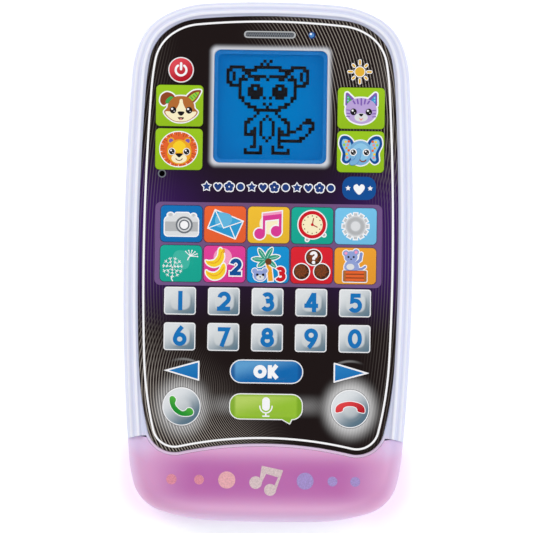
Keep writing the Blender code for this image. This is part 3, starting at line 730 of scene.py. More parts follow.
def print_bar(light):
    """Dots and a pair of notes, printed on the light bar."""
    decor = Piece("light_bar_print")
    decor.surface = surface_of(light)
    decor.spacing = 0.8
    line = -71.4
    for name, code, dots in (
        ("coral", "d08294", ((-30.4, 1.7), (-21.4, 1.6))), ("salmon", "d9a0a6", ((-12.4, 2.8),)),
        ("peri", "9a86c0", ((13.1, 2.75), (22.0, 1.6), (29.4, 1.6))),
    ):
        finish = decor_finish(name, code)
        for x, radius in dots:
            decor.dots(finish, 1, (x, line, radius))
    beam = [(-1.9, -72.0), (-1.05, -66.6), (5.9, -68.0), (3.65, -74.6), (2.5, -74.4), (4.3, -70.3),
            (0.4, -69.2), (-0.95, -72.0)]
    notes = solid(oval(-3.0, -72.1, 2.05), oval(1.75, -74.4, 1.95), beam)
    decor.print(notes, decor_finish("sand", "cbb6b8"))
    decor.finish("body", None, "light_bar_plastic")


# ---- Places and outlines of the keys ----
DIGITS = ["key_" + digit for digit in "1234567890"]
APPS = ["key_" + name for name in ("camera", "mail", "music", "clock", "settings",
                                   "garden", "count", "beach", "guess", "pet")]
FACES = ["key_" + name for name in ("dog", "lion", "cat", "elephant")]
ROUND = ["key_power", "key_brightness", "key_call", "key_hang_up"]
ARROWS = ["key_left", "key_right"]
KEY_PLACES = {"key_talk": (0.0, -47.4), "key_left": (-26.3, -36.0), "key_right": (26.3, -36.0)}
SPEECH = [(-12.05, -4.3, 3.6), (5.2, -4.3, 0.0), (7.9, -5.8, 0.35), (8.6, -4.3, 0.0), (12.05, -4.3, 3.6),
          (12.05, 4.3, 3.6), (-12.05, 4.3, 3.6)]
ARROW = [(-4.5, -3.4, 0.3), (7.4, 0.0, 0.1), (-4.5, 3.4, 0.3)]


def key_place(node):
    return KEY_PLACES.get(node) or node_centre(node)


def key_outline(node, grow=0.0, place=(0.0, 0.0)):
    """The outline of a key's cap, pushed outwards by grow, with the key at place."""
    low, high = node_box(node)
    width, height = high[0] - low[0], high[1] - low[1]
    if node in ROUND:
        return oval(*place, width / 2 + grow, count=64)
    if node == "key_talk":
        corners = SPEECH
    elif node in ARROWS:
        side = 1 if node == "key_right" else -1
        corners = [(side * x, side * y, bend) for x, y, bend in ARROW]
    else:
        radius = {"key_ok": 3.8}.get(node, 1.0 if node in DIGITS else 1.4)
        corners = corners_of(width, height, radius)
    return [(place[0] + x, place[1] + y) for x, y in rounded(corners, grow)]


# ---- Faceplate ----
def light_lines(x, y):
    """Fine curving lines: at the upper right, at the lower left and beside the rim, 0 to 1 each."""
    swing = (x + 46.0).distance(y - 44.0)
    high = (swing * (2 * pi)).wave().fade(0.62, 1.0)
    curl = (x - 4.0).distance(y + 41.0)
    low = (curl.power(0.4) * 160.0).wave().fade(0.3, 1.0)
    rim = ((x.size() + y * y * 0.0016) * (2 * pi / 0.95)).wave().fade(0.3, 0.95)
    return high, low, rim


def faceplate_finish(name, origin=(0.0, 0.0)):
    """Near-black print: fine light lines and a purple band, with soft painted glow round the lit places and
    painted highlights beside the arrow keys.
    """
    made = Finish(name, 0.5, Specular_IOR_Level=0.08)
    x, y = made.x + origin[0], made.y + origin[1]
    lines_high, lines_low, lines_rim = light_lines(x, y)
    band = y.fade(-26.0, 2.0) * y.fade(42.0, 14.0) * (x.size().fade(14.0, 42.0) * 0.75 + 0.25)
    colour = made.mix(band, "1b1212", "39185b")
    high = (x * 0.75 + y).fade(42.0, 84.0) * x.fade(-12.0, 12.0)
    low = (x * 0.8 + y).fade(-42.0, -78.0) * x.fade(14.0, -8.0)
    rim = x.size().fade(29.0, 42.0) * 0.2
    light = (lines_high * high * 0.95).larger(lines_low * low).larger(lines_rim * rim)
    colour = made.mix(light, colour, "a59d94")
    # Painted glow round the call and hang-up keys
    for node, reach, grain in (("key_call", 12.5, lines_low * 0.55 + 0.45),
                               ("key_hang_up", 12.0, lines_rim * 0.12 + 0.88)):
        place = key_place(node)
        away = (x - place[0]).distance((y - place[1]) * 0.9)
        colour = made.mix(away.fade(reach, 5.4).power(1.9) * grain * 0.9, colour, "d6d6d6")
    # Painted highlights: light crescents as on the shallow swellings that the arrow keys stand in
    for side in (-1, 1):
        place = KEY_PLACES["key_right"]
        away = (x - side * (place[0] + 1.0)).distance((y - (place[1] - 1.0)) * 1.45)
        crescent = (away - 6.9).size().fade(0.9, 0.0) * y.fade(place[1] + 2.0, place[1] + 3.6)
        crescent = crescent * (x * side).fade(place[0] + 6.0, place[0])
        colour = made.mix(crescent * 0.5, colour, "a5a5a5")
    # Painted glow in a band beside the talk key
    beam = (y + 47.0).size().fade(4.5, 0.0) * x.size().fade(23.0, 13.0)
    colour = made.mix(beam * (lines_low * 0.2 + 0.25), colour, "b9b9b9")
    # Painted glow round the display window
    across, along = (((axis - middle).size() - 17.6).larger(0.0) for axis, middle in zip((x, y), WINDOW))
    colour = made.mix(across.distance(along).fade(3.2, 0.9).power(1.6) * 0.85, colour, "dfe2ea")
    return made.worn(colour, 0.7, 0.1, 0.37, 0.002)


def make_faceplate():
    first, last = node_centre("key_camera"), node_centre("key_pet")
    app_panel = corners_of(74.0, 27.2, 2.0, (first[0] + last[0]) / 2, (first[1] + last[1]) / 2)
    holes = [key_outline(node, KEY_GAP, key_place(node))
             for node in DIGITS + FACES + ROUND + ARROWS + ["key_ok", "key_talk"]]
    ear_slot = bar(*EARPIECE, 15.8, 1.5, 0.74)
    window = bar(*WINDOW, WINDOW_SIDE, WINDOW_SIDE, 2.2)
    holes += [rounded(app_panel), window, oval(*MICROPHONE, 0.9), ear_slot]
    plate = Piece("faceplate_look")
    plate.slab([(panel_outline(0.15), holes)], faceplate_finish("printed_black"), PLATE_LOW, PLATE_TOP)
    plate.print([(panel_outline(1.5), [panel_outline(2.15)])], "white")
    plate.print([(bar(*EARPIECE, 16.9, 2.3, 1.14), [ear_slot])], "grey")
    plate.print([(oval(*MICROPHONE, 1.35), [oval(*MICROPHONE, 0.95)])], "dark_grey")
    # A small lens: a navy ring, a denim face and a painted highlight at its upper left
    plate.dots("navy", 1, (13.2, 73.9, 1.15))
    plate.dots("denim", 2, (13.1, 73.95, 0.8))
    plate.dots("white", 3, (12.85, 74.3, 0.35))
    print_title(plate)
    plate.finish("body", "faceplate", "printed_faceplate")
    make_app_frame(app_panel)
    make_earpiece()


def ring_of(count, x, y, reach, turn=0.0):
    """Points spaced evenly round a circle, the first at turn degrees."""
    angles = [radians(turn + 360.0 * i / count) for i in range(count)]
    return [(x + reach * cos(a), y + reach * sin(a)) for a in angles]


def star(x, y, radius):
    """A five-pointed star with one point up."""
    tips = ring_of(5, x, y, radius, 90.0)
    dips = ring_of(5, x, y, radius / 2, 126.0)
    return solid([point for pair in zip(tips, dips) for point in pair])


def heart(x, y, size):
    half = ((0.0, 0.45), (0.35, 0.8), (0.85, 0.6), (0.9, -0.05), (0.0, -1.0))
    return placed(solid(blob(both_sides(half), 5)), x, y, 0.0, size)


def flower(x, y, radius):
    petals = ring_of(5, x, y, 0.6 * radius, 90.0)
    return solid(*[oval(*petal, 0.45 * radius, count=16) for petal in petals])


def print_title(plate):
    """A row of plain little signs, and a plain badge with a heart."""
    for i in range(12):
        x, y = -20.4 + 3.68 * i, 24.1
        sign = (star(x, y, 1.45), heart(x, y, 1.25), flower(x, y, 1.5), solid(oval(x, y, 1.1)))[i % 4]
        plate.outlined(sign, "navy", 2, 0.36)
    badge = (29.3, 24.2)
    plate.print(solid(bar(*badge, 11.0, 7.6, 3.0)), "deep_blue", 1)
    plate.print(heart(badge[0], badge[1] - 0.2, 1.9), "white", 2)
    for side in (-1, 1):
        plate.print(star(badge[0] + side * 3.6, badge[1], 0.9), "white", 2)


def make_app_frame(panel):
    """The purple grid that the ten picture keys stand in."""
    made = Finish("purple_grid", 0.45, Specular_IOR_Level=0.25)
    tint = made.mix(made.x.size().fade(0.0, 40.0), "6c4a74", "6f5184")
    finish = made.worn(tint, 0.7, 0.1, 0.4, 0.003)
    holes = [key_outline(node, KEY_GAP, key_place(node)) for node in APPS]
    grid = Piece("app_frame")
    grid.slab([(rounded(panel, -0.02), holes)], finish, PLATE_LOW + 0.2, PLATE_TOP + 0.02)
    grid.finish("body", None, "printed_faceplate")


def make_earpiece():
    """A pierced strip in the earpiece slot, with two staggered rows of holes."""
    x, y = EARPIECE
    holes = [oval(x - 7.2 + i * 0.75 + row * 0.19, y + row * 0.33, 0.2, count=8)
             for row in (-1, 1) for i in range(20)]
    strip = Piece("earpiece_mesh")
    strip.slab([(bar(x, y, 15.7, 1.4, 0.68), holes)], "dark_grey", PLATE_TOP - 1.0, PLATE_TOP - 0.2)
    strip.finish("body", None, "printed_faceplate")


# ---- Display ----
def lit_finish(name, amount, dark, light, glow, grain):
    """Part of the lit display, between two blues."""
    made = Finish(name, 0.5, Specular_IOR_Level=0.0)
    tint = made.mix(amount(made), dark, light)
    made.colour(tint)
    made.glow(tint, glow)
    if grain:
        made.bump(made.noise(3.0, 2.0), grain)
    return made.material


def make_display():
    """A blue lit panel, black pixels and a clear window with a tinted border."""
    def from_middle(made):
        return (made.x - WINDOW[0]).distance(made.y - WINDOW[1]).fade(4.0, 24.0)

    paint("lcd_module", lit_finish("lcd_blue", from_middle, "006fae", "0a66a8", 0.4, 0.002))
    border = lit_finish("lcd_border", lambda made: made.noise(1.5, 2.0), "1e6cae", "2774b4", 0.5, 0.0)
    edge = Piece("window_border")
    outer, inner = WINDOW_SIDE - 0.2, WINDOW_SIDE - 2.6
    figure = [(bar(*WINDOW, outer, outer, 2.1), [bar(*WINDOW, inner, inner, 1.6)])]
    edge.slab(figure, border, DECK_TOP + 0.03, PLATE_LOW - 0.08)
    edge.finish("body", None, "lcd_module")
    make_pixels()
    glass = Finish("window_clear", 0.04, Transmission_Weight=1.0, IOR=1.15, Specular_IOR_Level=0.2)
    glass.colour(glass.mix(glass.noise(0.05), (0.93, 0.96, 1.0), (0.97, 0.98, 1.0)))
    glass.bump(glass.noise(0.03, 1.0), 0.002)
    side = WINDOW_SIDE - 0.3
    lens = Piece("screen_window_look")
    lens.slab([(bar(*WINDOW, side, side, 2.05), [])], glass.material, PLATE_LOW, PLATE_TOP - 0.2)
    lens.finish("body", "screen_window", "screen_window")


def make_pixels():
    """The dark cells of the display, one rectangle for each run of touching cells in a row."""
    top = node_box("lcd_module")[1][2]
    half = PIXEL / 2 + 0.02         # cells that meet at a corner still join
    figure = []
    for row, start, end in runs(pet_pixels()):
        x0, x1 = (WINDOW[0] + column * PIXEL for column in (start, end))
        y = WINDOW[1] + row * PIXEL
        figure += solid([(x0 - half, y - half), (x1 + half, y - half), (x1 + half, y + half),
                         (x0 - half, y + half)])
    pixels = Piece("lcd_pixels")
    pixels.slab(figure, "black", top - 0.02, top + 0.05)
    pixels.finish("body", None, "lcd_module")


def cells(points):
    return {(round(x), round(y)) for x, y in points}


def filled(x, y, rx, ry):
    """The cells of an oval."""
    reach = max(rx, ry) + 1
    return {(x + i, y + j) for i in range(-reach, reach + 1) for j in range(-reach, reach + 1)
            if (i / (rx + 0.35)) ** 2 + (j / (ry + 0.35)) ** 2 <= 1.0}


def pet_half(middle, side):
    """The ear, eye, mouth, arm and leg on one side of the display's pet."""
    def line(*points, per_side=6):
        return cells(smooth([(middle + side * i, j) for i, j in points], per_side))

    eye_x = middle + side * 4
    dots = cells(oval(middle + side * 10, 10, 3.2, count=90)) - filled(middle, 6, 9, 7)
    dots |= filled(eye_x, 5, 2, 2) - {(eye_x, 6)}
    dots |= {(eye_x, 9), (eye_x + 1, 9)}
    dots |= line((0, 9), (2, 10), (5, 10), (7, 9))
    dots |= line((3, -2), (5, -4), (7, -6), (7, -9), (5, -9), (4, -7), per_side=8)
    single = [(1, 3), (1, 1), (7, -14), (5, -13), (2, -14), (2, -13)]
    single += [(11, j) for j in (9, 10, 11)] + [(4, j) for j in range(-13, -8)]
    single += [(i, -15) for i in range(2, 8)]
    return dots | {(middle + side * i, j) for i, j in single}


def pet_pixels():
    """A standing round-eared pet with a raised tail, in display cells about the window's centre."""
    middle = -1
    dots = cells(oval(middle, 6, 9.3, 7.4, 200)) | cells(oval(middle, -7, 2.2, 3.6, 60))
    dots |= pet_half(middle, -1) | pet_half(middle, 1)
    dots |= {(middle, 0), (middle - 2, 14), (middle, 14), (middle - 1, 15), (middle + 1, 15)}
    dots |= cells(smooth([(6, -8), (8, -8), (11, -5), (13, -4)], 12))
    return dots | cells(smooth([(4, -11), (9, -11), (12, -9), (14, -6), (13, -4)], 12))


def runs(dots):
    """Rows of touching cells as (row, first column, last column)."""
    out = []
    for row in sorted({y for _, y in dots}):
        columns = sorted(x for x, y in dots if y == row)
        start = last = columns[0]
        for x in columns[1:]:
            if x != last + 1:
                out.append((row, start, last))
                start = x
            last = x
        out.append((row, start, last))
    return out


# ---- Keys ----
# Steps of (inset, height) up a cap's edge; a white border covers the first BORDER_STEPS
EDGE_PROFILE = ((0.0, 24.95), (0.07, 25.12), (0.2, 25.2), (0.36, 25.18), (0.55, CAP_TOP))
ARROW_PROFILE = ((0.0, 24.95), (0.07, 25.12), (0.25, 25.2), (0.52, 25.18), (0.6, CAP_TOP))
SOFT_PROFILE = ((0.0, 25.1), (0.05, 25.22), (0.14, 25.28), (0.3, 25.3))
FLAT_PROFILE = ((0.0, 24.9), (0.06, 25.0), (0.2, 25.05))
BORDER_STEPS = 3


def cap(node, base, profile, bump=None, border=None, spacing=0.5):
    """A key cap: rings round its edge, then a top that may rise in a soft bump."""
    piece = Piece(node + "_cap", key_place(node))
    sections = [(key_outline(node), CAP_LOW, border or base)]
    for step, (inset, z) in enumerate(profile):
        sections.append((key_outline(node, -inset), z, border if border and step < BORDER_STEPS else base))
    piece.rings(sections, close=False)

    def top(x, y):
        return profile[-1][1] + (bump(x, y) if bump else 0.0)

    flat, faces = triangulated([(sections[-1][0], [])], spacing, False)
    index = piece.index(base)
    verts = {i: piece.work.verts.new((flat[i][0] * MM, flat[i][1] * MM, top(*flat[i]) * MM))
             for f in faces for i in f}
    for f in faces:
        piece.work.faces.new([verts[i] for i in f]).material_index = index
    bmesh.ops.remove_doubles(piece.work, verts=piece.work.verts, dist=MERGE * MM)
    piece.surface = top
    piece.spacing = spacing if bump else None
    return piece


def soft_bump(x0, y0, rx, ry, rise, foot, power=3.2):
    """A raised pad with a rounded plan, flat where the reach from its middle is below foot."""
    def bump(x, y):
        reach = (abs((x - x0) / rx) ** power + abs((y - y0) / ry) ** power) ** (1 / power)
        t = min(1.0, max(0.0, (1.0 - reach) / (1.0 - foot)))
        return rise * t * t * (3 - 2 * t)
    return bump


def graded(name, light, dark, span, across=0.6, roughness=0.3):
    """A key's print with painted light and shade: it darkens from the upper left to the lower right of a
    key.
    """
    made = Finish(name, roughness, Specular_IOR_Level=0.2)
    slope = (made.y - made.x * across).fade(-span, span)
    drift = made.noise(1.2, 2.0) * 0.1 - 0.05
    return made.worn(made.mix(slope + drift, dark, light), 0.6, 0.1, roughness - 0.05, 0.002)


def silver_finish():
    """Silver print, lit from the upper left, with light and shade round the raised pad."""
    made = Finish("silver_print", 0.42, Specular_IOR_Level=0.25)
    colour = made.mix((made.y - made.x * 0.6).fade(-6.5, 5.0), "5e7888", "dadee0")
    reach = ((made.x - 0.2).size() * (1 / 3.5)).power(3.2) + (made.y.size() * (1 / 3.3)).power(3.2)
    colour = made.mix(reach.fade(1.0, 0.4) * 0.75, colour, "d3d8da")
    turned = (made.x - made.y).fade(0.5, 4.5)
    colour = made.mix((reach - 1.0).size().fade(0.5, 0.0) * turned * 0.75, colour, "70828c")
    return made.worn(colour, 0.6, 0.1, 0.37, 0.002)


def pad_finish(name, light, dark, edge, reach):
    """A wide key's print, with painted light at the upper left and a darker edge round its raised pad."""
    made = Finish(name, 0.32, Specular_IOR_Level=0.2)
    slope = (made.y * 1.6 - made.x * 0.45).fade(-3.0, 7.5)
    drift = made.noise(1.2, 2.0) * 0.1 - 0.05
    colour = made.mix(slope + drift, dark, light)
    beside, above = made.x.size() - reach, made.y.size() - 3.2
    round_pad = beside.fade(-0.5, 0.6).larger(above.fade(-0.3, 0.6) * 0.7)
    return made.worn(made.mix(round_pad * 0.8, colour, edge), 0.6, 0.1, 0.27, 0.002)


def ball_finish():
    """Silver with painted light at the upper left, painted blue-grey shade below, and a soft painted
    highlight in the middle.
    """
    made = Finish("ball_silver", 0.34, Specular_IOR_Level=0.3)
    colour = made.mix((made.y - made.x * 0.8).fade(-7.0, 6.0), "567182", "dce0e3")
    dish = (made.x - 0.3).distance(made.y + 0.2)
    colour = made.mix(dish.fade(3.6, 1.6) * 0.5, colour, "d5d9da")
    # Painted shade round the lower right of the dome
    rim = (dish - 3.7).size().fade(0.6, 0.0) * (made.x - made.y).fade(0.0, 4.0)
    return made.worn(made.mix(rim * 0.4, colour, "7f8c93"), 0.6, 0.1, 0.29, 0.002)


# Strokes of each sign in a box one unit tall
GLYPHS = {
    "1": [[(0.0, 0.5), (0.0, -0.5)]],
    "2": [arc(0.0, 0.15, 0.235, 0.24, 170, -38) + [(-0.25, -0.42)], [(-0.36, -0.39), (0.32, -0.39)]],
    "3": [arc(-0.02, 0.205, 0.21, 0.185, 150, -105), arc(-0.02, -0.165, 0.25, 0.225, 108, -152)],
    "4": [[(0.13, 0.5), (0.13, -0.5)], [(0.11, 0.46), (-0.25, -0.2)], [(-0.37, -0.17), (0.34, -0.17)]],
    "5": [[(0.27, 0.39), (-0.15, 0.39), (-0.19, 0.07)] + arc(-0.02, -0.13, 0.26, 0.26, 128, -148)],
    "6": [smooth([(0.12, 0.5), (-0.03, 0.32), (-0.15, 0.13), (-0.22, -0.04), (-0.245, -0.15)])],
    "7": [[(-0.3, 0.39), (0.22, 0.39), (-0.1, -0.5)]],
    "?": [arc(0.0, 0.19, 0.2, 0.2, 175, -50), smooth([(0.125, 0.04), (0.02, -0.05), (0.0, -0.2)])],
    "K": [[(-0.26, 0.5), (-0.26, -0.5)], [(0.26, 0.5), (-0.14, 0.0), (0.29, -0.5)]],
}
# Their closed rings, as outer ovals of (x, y, half width, half height)
RINGS = {
    "0": [(0.0, 0.0, 0.365, 0.5)], "6": [(0.0, -0.15, 0.355, 0.35)], "O": [(0.0, 0.0, 0.5, 0.5)],
    "8": [(0.0, 0.2, 0.3, 0.3), (0.0, -0.165, 0.355, 0.335)],
}


def glyph(sign, x, y, height, weight=0.22):
    """A plain character with flat-ended strokes; weight is their width for a height of 1."""
    if sign == "9":
        return placed(glyph("6", 0.0, 0.0, height, weight), x, y, 180.0)
    figure = []
    for path in GLYPHS.get(sign, ()):
        figure += stroke(path, weight, True)
    for across, up, rx, ry in RINGS.get(sign, ()):
        figure += loop(oval(across, up, rx - weight / 2, ry - weight / 2), weight)
    if sign == "?":
        figure += solid(oval(0.0, -0.42, weight * 0.6))
    return placed(figure, x, y, 0.0, height)


def make_digit_keys():
    silver = silver_finish()
    for node in DIGITS:
        pad = soft_bump(0.2, 0.0, 3.8, 3.6, 0.5, 0.35)
        piece = cap(node, silver, EDGE_PROFILE, pad, "white", 0.27)
        piece.print(glyph(node[-1], 0.1, 0.05, 6.3), "digit_blue")
        piece.finish(node, node, "digit_keys")


def make_tile(node, code, slot, draw):
    """A square key whose whole top is one picture. The picture keys have a low pad too."""
    pad = soft_bump(0.9, 0.4, 3.3, 3.2, 0.16, 0.72) if node in APPS else None
    lighter = "".join(f"{min(255, int(int(code[i:i + 2], 16) * 1.04) + 5):02x}" for i in (0, 2, 4))
    finish = graded("tile_" + node[4:], lighter, code, 9.0, 0.3, 0.36)
    piece = cap(node, finish, SOFT_PROFILE, pad, None, 0.42 if pad else None)
    draw(piece)
    piece.finish(node, node, slot)


def make_picture_keys():
    """The ten picture keys on their coloured grounds, and the four faces on green."""
    for node, code, draw in (
        ("key_camera", "0468ad", draw_camera), ("key_mail", "e05c2c", draw_mail),
        ("key_music", "e2b22c", draw_music), ("key_clock", "0d9f8b", draw_clock),
        ("key_settings", "6cb8de", draw_gear), ("key_garden", "0d9f8b", draw_garden),
        ("key_count", "d2378d", draw_bananas), ("key_beach", "0a88c6", draw_palm),
        ("key_guess", "cd1a29", draw_coconuts), ("key_pet", "e0962a", draw_crate),
    ):
        make_tile(node, code, "picture_keys", draw)
    for node, draw in zip(FACES, (draw_dog, draw_lion, draw_cat, draw_elephant)):
        make_tile(node, "8fba17", "face_keys", draw)


def draw_camera(key):
    body = rounded([(-5.4, -3.9, 1.0), (5.4, -3.9, 1.0), (5.4, 2.0, 1.2), (3.0, 2.5, 0.6), (2.2, 3.5, 0.5),
                    (-1.7, 3.5, 0.5), (-2.6, 2.5, 0.6), (-5.4, 2.0, 1.2)])
    key.outlined(solid(body, oval(-3.6, 2.8, 0.95, 0.7), oval(3.9, 2.7, 0.8, 0.6)), "light_grey")
    key.print(solid(bar(0.0, -0.9, 10.6, 3.1, 0.2)), "grey", 3)
    key.dots("silver", 3, (-3.6, 2.9, 0.6, 0.5), (3.9, 2.8, 0.42, 0.45))
    lens = ((2.75, "dark_grey"), (2.2, "light_grey"), (1.75, "dark_grey"), (1.3, "white"))
    for layer, (radius, name) in enumerate(lens, 4):
        key.dots(name, layer, (0.9, -0.4, radius))


def draw_mail(key):
    a, b, c, d = (-3.2, 4.5), (5.7, 1.0), (3.3, -4.5), (-5.4, -1.2)
    key.outlined(solid([d, c, b, a]), "sky")
    key.print(solid([(-2.9, 4.3), (-0.4, -0.7), (5.3, 1.0)]), "mail_blue", 3)
    # A painted highlight: a pale patch over the envelope
    shine = patch((-3.3, 1.4), (-2.0, 3.8), (1.6, 3.2), (2.2, 0.9), (0.3, -0.9), (-2.4, -0.8))
    key.print(shine, "highlight_sky", 4)
    key.print(stroke([a, (-0.5, -1.2), b], 0.34), "white", 5)
    key.print(stroke([d, (-1.6, 0.2)], 0.34) + stroke([c, (1.6, -0.6)], 0.34), "white", 5)


def draw_music(key):
    notes = solid(oval(-2.9, -2.9, 1.75), oval(2.5, -2.0, 1.75),
                  [(-1.9, -2.9), (-1.15, -2.9), (-1.15, 1.4), (3.35, 2.0), (3.35, -2.0), (4.2, -2.0),
                   (4.2, 4.5), (-1.9, 3.7)])
    # A painted highlight: a pale disc behind the notes
    key.dots("cream", 1, (0.4, 0.3, 3.4))
    key.print(grown(notes, 0.42), "white", 2)
    key.print(notes, "magenta", 3)
    key.print(solid([(-1.9, 2.9), (4.2, 3.7), (4.2, 4.5), (-1.9, 3.7)]), "pink", 4)


def draw_clock(key):
    middle = (0.0, 0.3)
    key.outlined(solid(oval(-1.6, -4.6, 0.45), oval(3.9, -3.0, 0.45)), "grey")
    key.outlined(solid(oval(*middle, 4.5, count=48)), "red", 4)
    key.dots("cream", 5, (*middle, 3.4), count=40)
    for point in ring_of(12, *middle, 2.85):
        key.dots("brown", 6, (*point, 0.2), count=8)
    for tip in ((0.4, 2.3), (1.6, -0.5)):
        key.print(stroke([middle, tip], 0.32), "dark_red", 6)
    key.dots("red", 7, (*middle, 0.45))


def draw_gear(key):
    x, teeth = -0.1, 12
    edge = []
    for i in range(teeth):
        for turn, reach in ((-0.30, 3.45), (-0.24, 4.25), (0.24, 4.25), (0.30, 3.45)):
            a = 2 * pi * (i + turn) / teeth
            edge.append((x + reach * cos(a), reach * sin(a)))
    key.outlined(solid(edge), "silver")
    key.print(loop(oval(x, 0.0, 3.3), 0.3), "light_grey", 3)
    key.print(loop(oval(x, 0.0, 2.3), 0.9), "grey", 3)
    key.dots("light_grey", 4, (x, 0.0, 1.55))


def draw_garden(key):
    """A dandelion clock and a seed that flies off, printed as one region."""
    # A painted highlight: a paler patch behind the dandelion
    haze = patch((-2.6, 2.6), (-1.2, 4.2), (1.8, 3.9), (3.0, 1.6), (2.2, -1.4), (-0.6, -2.0), (-2.6, -0.2))
    key.print(haze, "teal")
    x, y = -2.7, -1.3
    seeds = []
    for count, reach, size in ((11, 2.7, 0.64), (7, 1.6, 0.56), (3, 0.6, 0.48)):
        for i in range(count):
            a = 2 * pi * (i + 0.375 * size) / count
            root, tip = [(x + r * cos(a), y + r * sin(a)) for r in (reach - 0.9, reach)]
            seeds += stroke([root, tip], 0.14)
            for turn in (-55, 0, 55):
                b = a + radians(turn)
                seeds += stroke([tip, (tip[0] + size * cos(b), tip[1] + size * sin(b))], 0.2)
    seeds += stroke(smooth([(x - 0.3, y - 3.2), (x - 0.3, y - 3.7), (x + 0.1, y - 4.4)]), 0.32)
    seeds += stroke(smooth([(2.2, 1.2), (2.5, 1.9), (3.0, 2.4)]), 0.34)
    for turn in range(-2, 129, 26):
        tip = (3.0 + 2.4 * cos(radians(turn)), 2.4 + 1.9 * sin(radians(turn)))
        seeds += stroke([(3.0, 2.4), tip], 0.24) + solid(oval(*tip, 0.24, count=8))
    key.print(seeds, "white", 2)


def draw_bananas(key):
    # A painted highlight: a pale disc behind the bananas
    key.dots("pink", 1, (-0.6, 2.2, 3.0))
    banana = patch((-3.3, 1.0), (-2.3, 0.4), (-0.6, 0.1), (1.0, 1.0), (2.0, 2.6), (2.8, 2.8), (3.1, 1.4),
                   (2.5, -0.6), (0.7, -2.0), (-1.6, -2.0), (-3.2, -0.5))
    line = stroke(smooth([(-2.7, 0.1), (-0.8, -0.9), (1.2, -0.2), (2.5, 1.5)]), 0.3)
    for x, y, turn, first in ((-2.7, 1.5, 24.0, 2), (-2.6, -2.9, 4.0, 5)):
        for layer, (figure, name) in enumerate(((grown(banana, 0.4), "white"), (banana, "yellow"),
                                                (line, "amber")), first):
            key.print(placed(figure, x, y, turn), name, layer)
    key.print(solid(bar(-0.35, 4.3, 0.7, 1.3, 0.2)), "amber", 5)
    key.outlined(glyph("2", 3.7, -0.9, 5.4, 0.24), "deep_blue", 9, 0.42)


def leaf(turn, length):
    """One frond of a palm."""
    return placed(patch((0.0, 0.0), (length * 0.3, 0.75), (length * 0.7, 0.75), (length, 0.0),
                        (length * 0.7, -0.6), (length * 0.3, -0.5)), turn=turn)


def draw_palm(key):
    x, y = -0.7, 1.7
    trunk = stroke(smooth([(-0.4, 1.8), (0.3, -0.6), (0.7, -3.2), (0.9, -5.3)]), 1.5, True)
    key.outlined(trunk, "amber", 2, 0.32)
    leaves, ribs = [], []
    for turn, length in ((178, 4.6), (222, 3.6), (125, 4.3), (62, 4.35), (14, 4.6), (-38, 4.2)):
        leaves += leaf(turn, length)
        ribs += placed(stroke([(0.6, 0.0), (length * 0.85, 0.0)], 0.18), turn=turn)
    key.outlined(placed(leaves, x, y), "palm", 4, 0.34)
    key.print(placed(ribs, x, y), "mint", 5)
    key.dots("brown", 6, (0.1, 1.0, 1.05))
    head = solid(oval(-2.6, -3.6, 2.1, 1.75), oval(-4.3, -2.1, 0.85), oval(-1.0, -2.0, 0.85))
    key.outlined(head, "haze", 8, 0.28)
    key.dots("light_grey", 9, (-2.5, -4.2, 1.3, 0.85))
    key.dots("black", 10, (-3.45, -3.3, 0.42), (-1.55, -3.3, 0.42), count=12)
    key.dots("black", 10, (-2.5, -4.0, 0.25), count=10)
    key.outlined(glyph("3", 4.1, -3.0, 4.7, 0.26), "red", 8, 0.36)


def draw_coconuts(key):
    for number, (x, y) in enumerate(((-3.3, -2.1), (3.3, -2.0), (0.6, 2.6))):
        layer = 5 if number == 2 else 1
        for step, (name, ring) in enumerate((("white", (x, y, 2.85)), ("dark_brown", (x, y, 2.5)),
                                             ("brown", (x - 0.25, y + 0.25, 1.95)))):
            key.dots(name, layer + step, ring)
        for i in range(15):
            a = 2 * pi * i / 15 + number
            near, far = (0.5, 1.2) if i % 2 else (1.3, 2.2)
            mark = [(x + reach * cos(b), y + reach * sin(b)) for reach, b in ((near, a), (far, a + 0.3))]
            key.print(stroke(mark, 0.2), "rust", layer + 3)
    key.print(glyph("?", 0.6, 2.6, 3.9, 0.24), "white", 10)


def draw_crate(key):
    crate = solid(bar(-0.1, -3.3, 7.6, 3.6, 0.3))
    pet = solid(oval(-1.4, 2.9, 2.1, 1.9), oval(-3.1, 4.1, 0.95), oval(0.2, 4.5, 0.95))
    pet += patch((-2.9, 1.2), (-3.3, -1.2), (0.9, -1.4), (0.9, 0.6), (-0.2, 1.4))
    limbs = stroke(smooth([(0.8, -1.0), (2.2, -0.9), (3.2, -0.2)]), 0.7)
    limbs += stroke([(0.1, 0.8), (1.6, 2.0), (1.9, 4.0)], 0.95)
    key.print(grown(crate, 0.35) + grown(pet + limbs, 0.3), "white")
    key.print(limbs, "peri", 2)
    key.print(pet, "haze", 3)
    key.dots("light_grey", 4, (-1.6, -0.3, 1.3, 1.0))
    key.dots("pink", 4, (-3.1, 4.1, 0.5), (0.2, 4.5, 0.5))
    key.dots("black", 5, (-2.25, 2.9, 0.33), (-0.55, 2.9, 0.33), count=14)
    key.dots("black", 5, (-1.4, 2.2, 0.26, 0.2), count=12)
    key.print(crate, "rust", 6)
    for row in range(3):
        key.print(solid(bar(-0.1, -4.5 + row * 1.2, 7.2, 0.8, 0.15)), "orange", 7)
    for side in (-1, 1):
        key.print(solid(bar(-0.1 + side * 3.3, -3.3, 0.6, 3.4, 0.1)), "tan", 8)


def eyes(key, places, size, layer):
    """Black eyes at places, each with a large and a small glint."""
    for x, y in places:
        key.dots("black", layer, (x, y, size, size * 1.05), count=20)
        key.dots("white", layer + 1, (x - size * 0.3, y + size * 0.38, size * 0.34), count=12)
        key.dots("white", layer + 1, (x + size * 0.35, y - size * 0.35, size * 0.16), count=8)


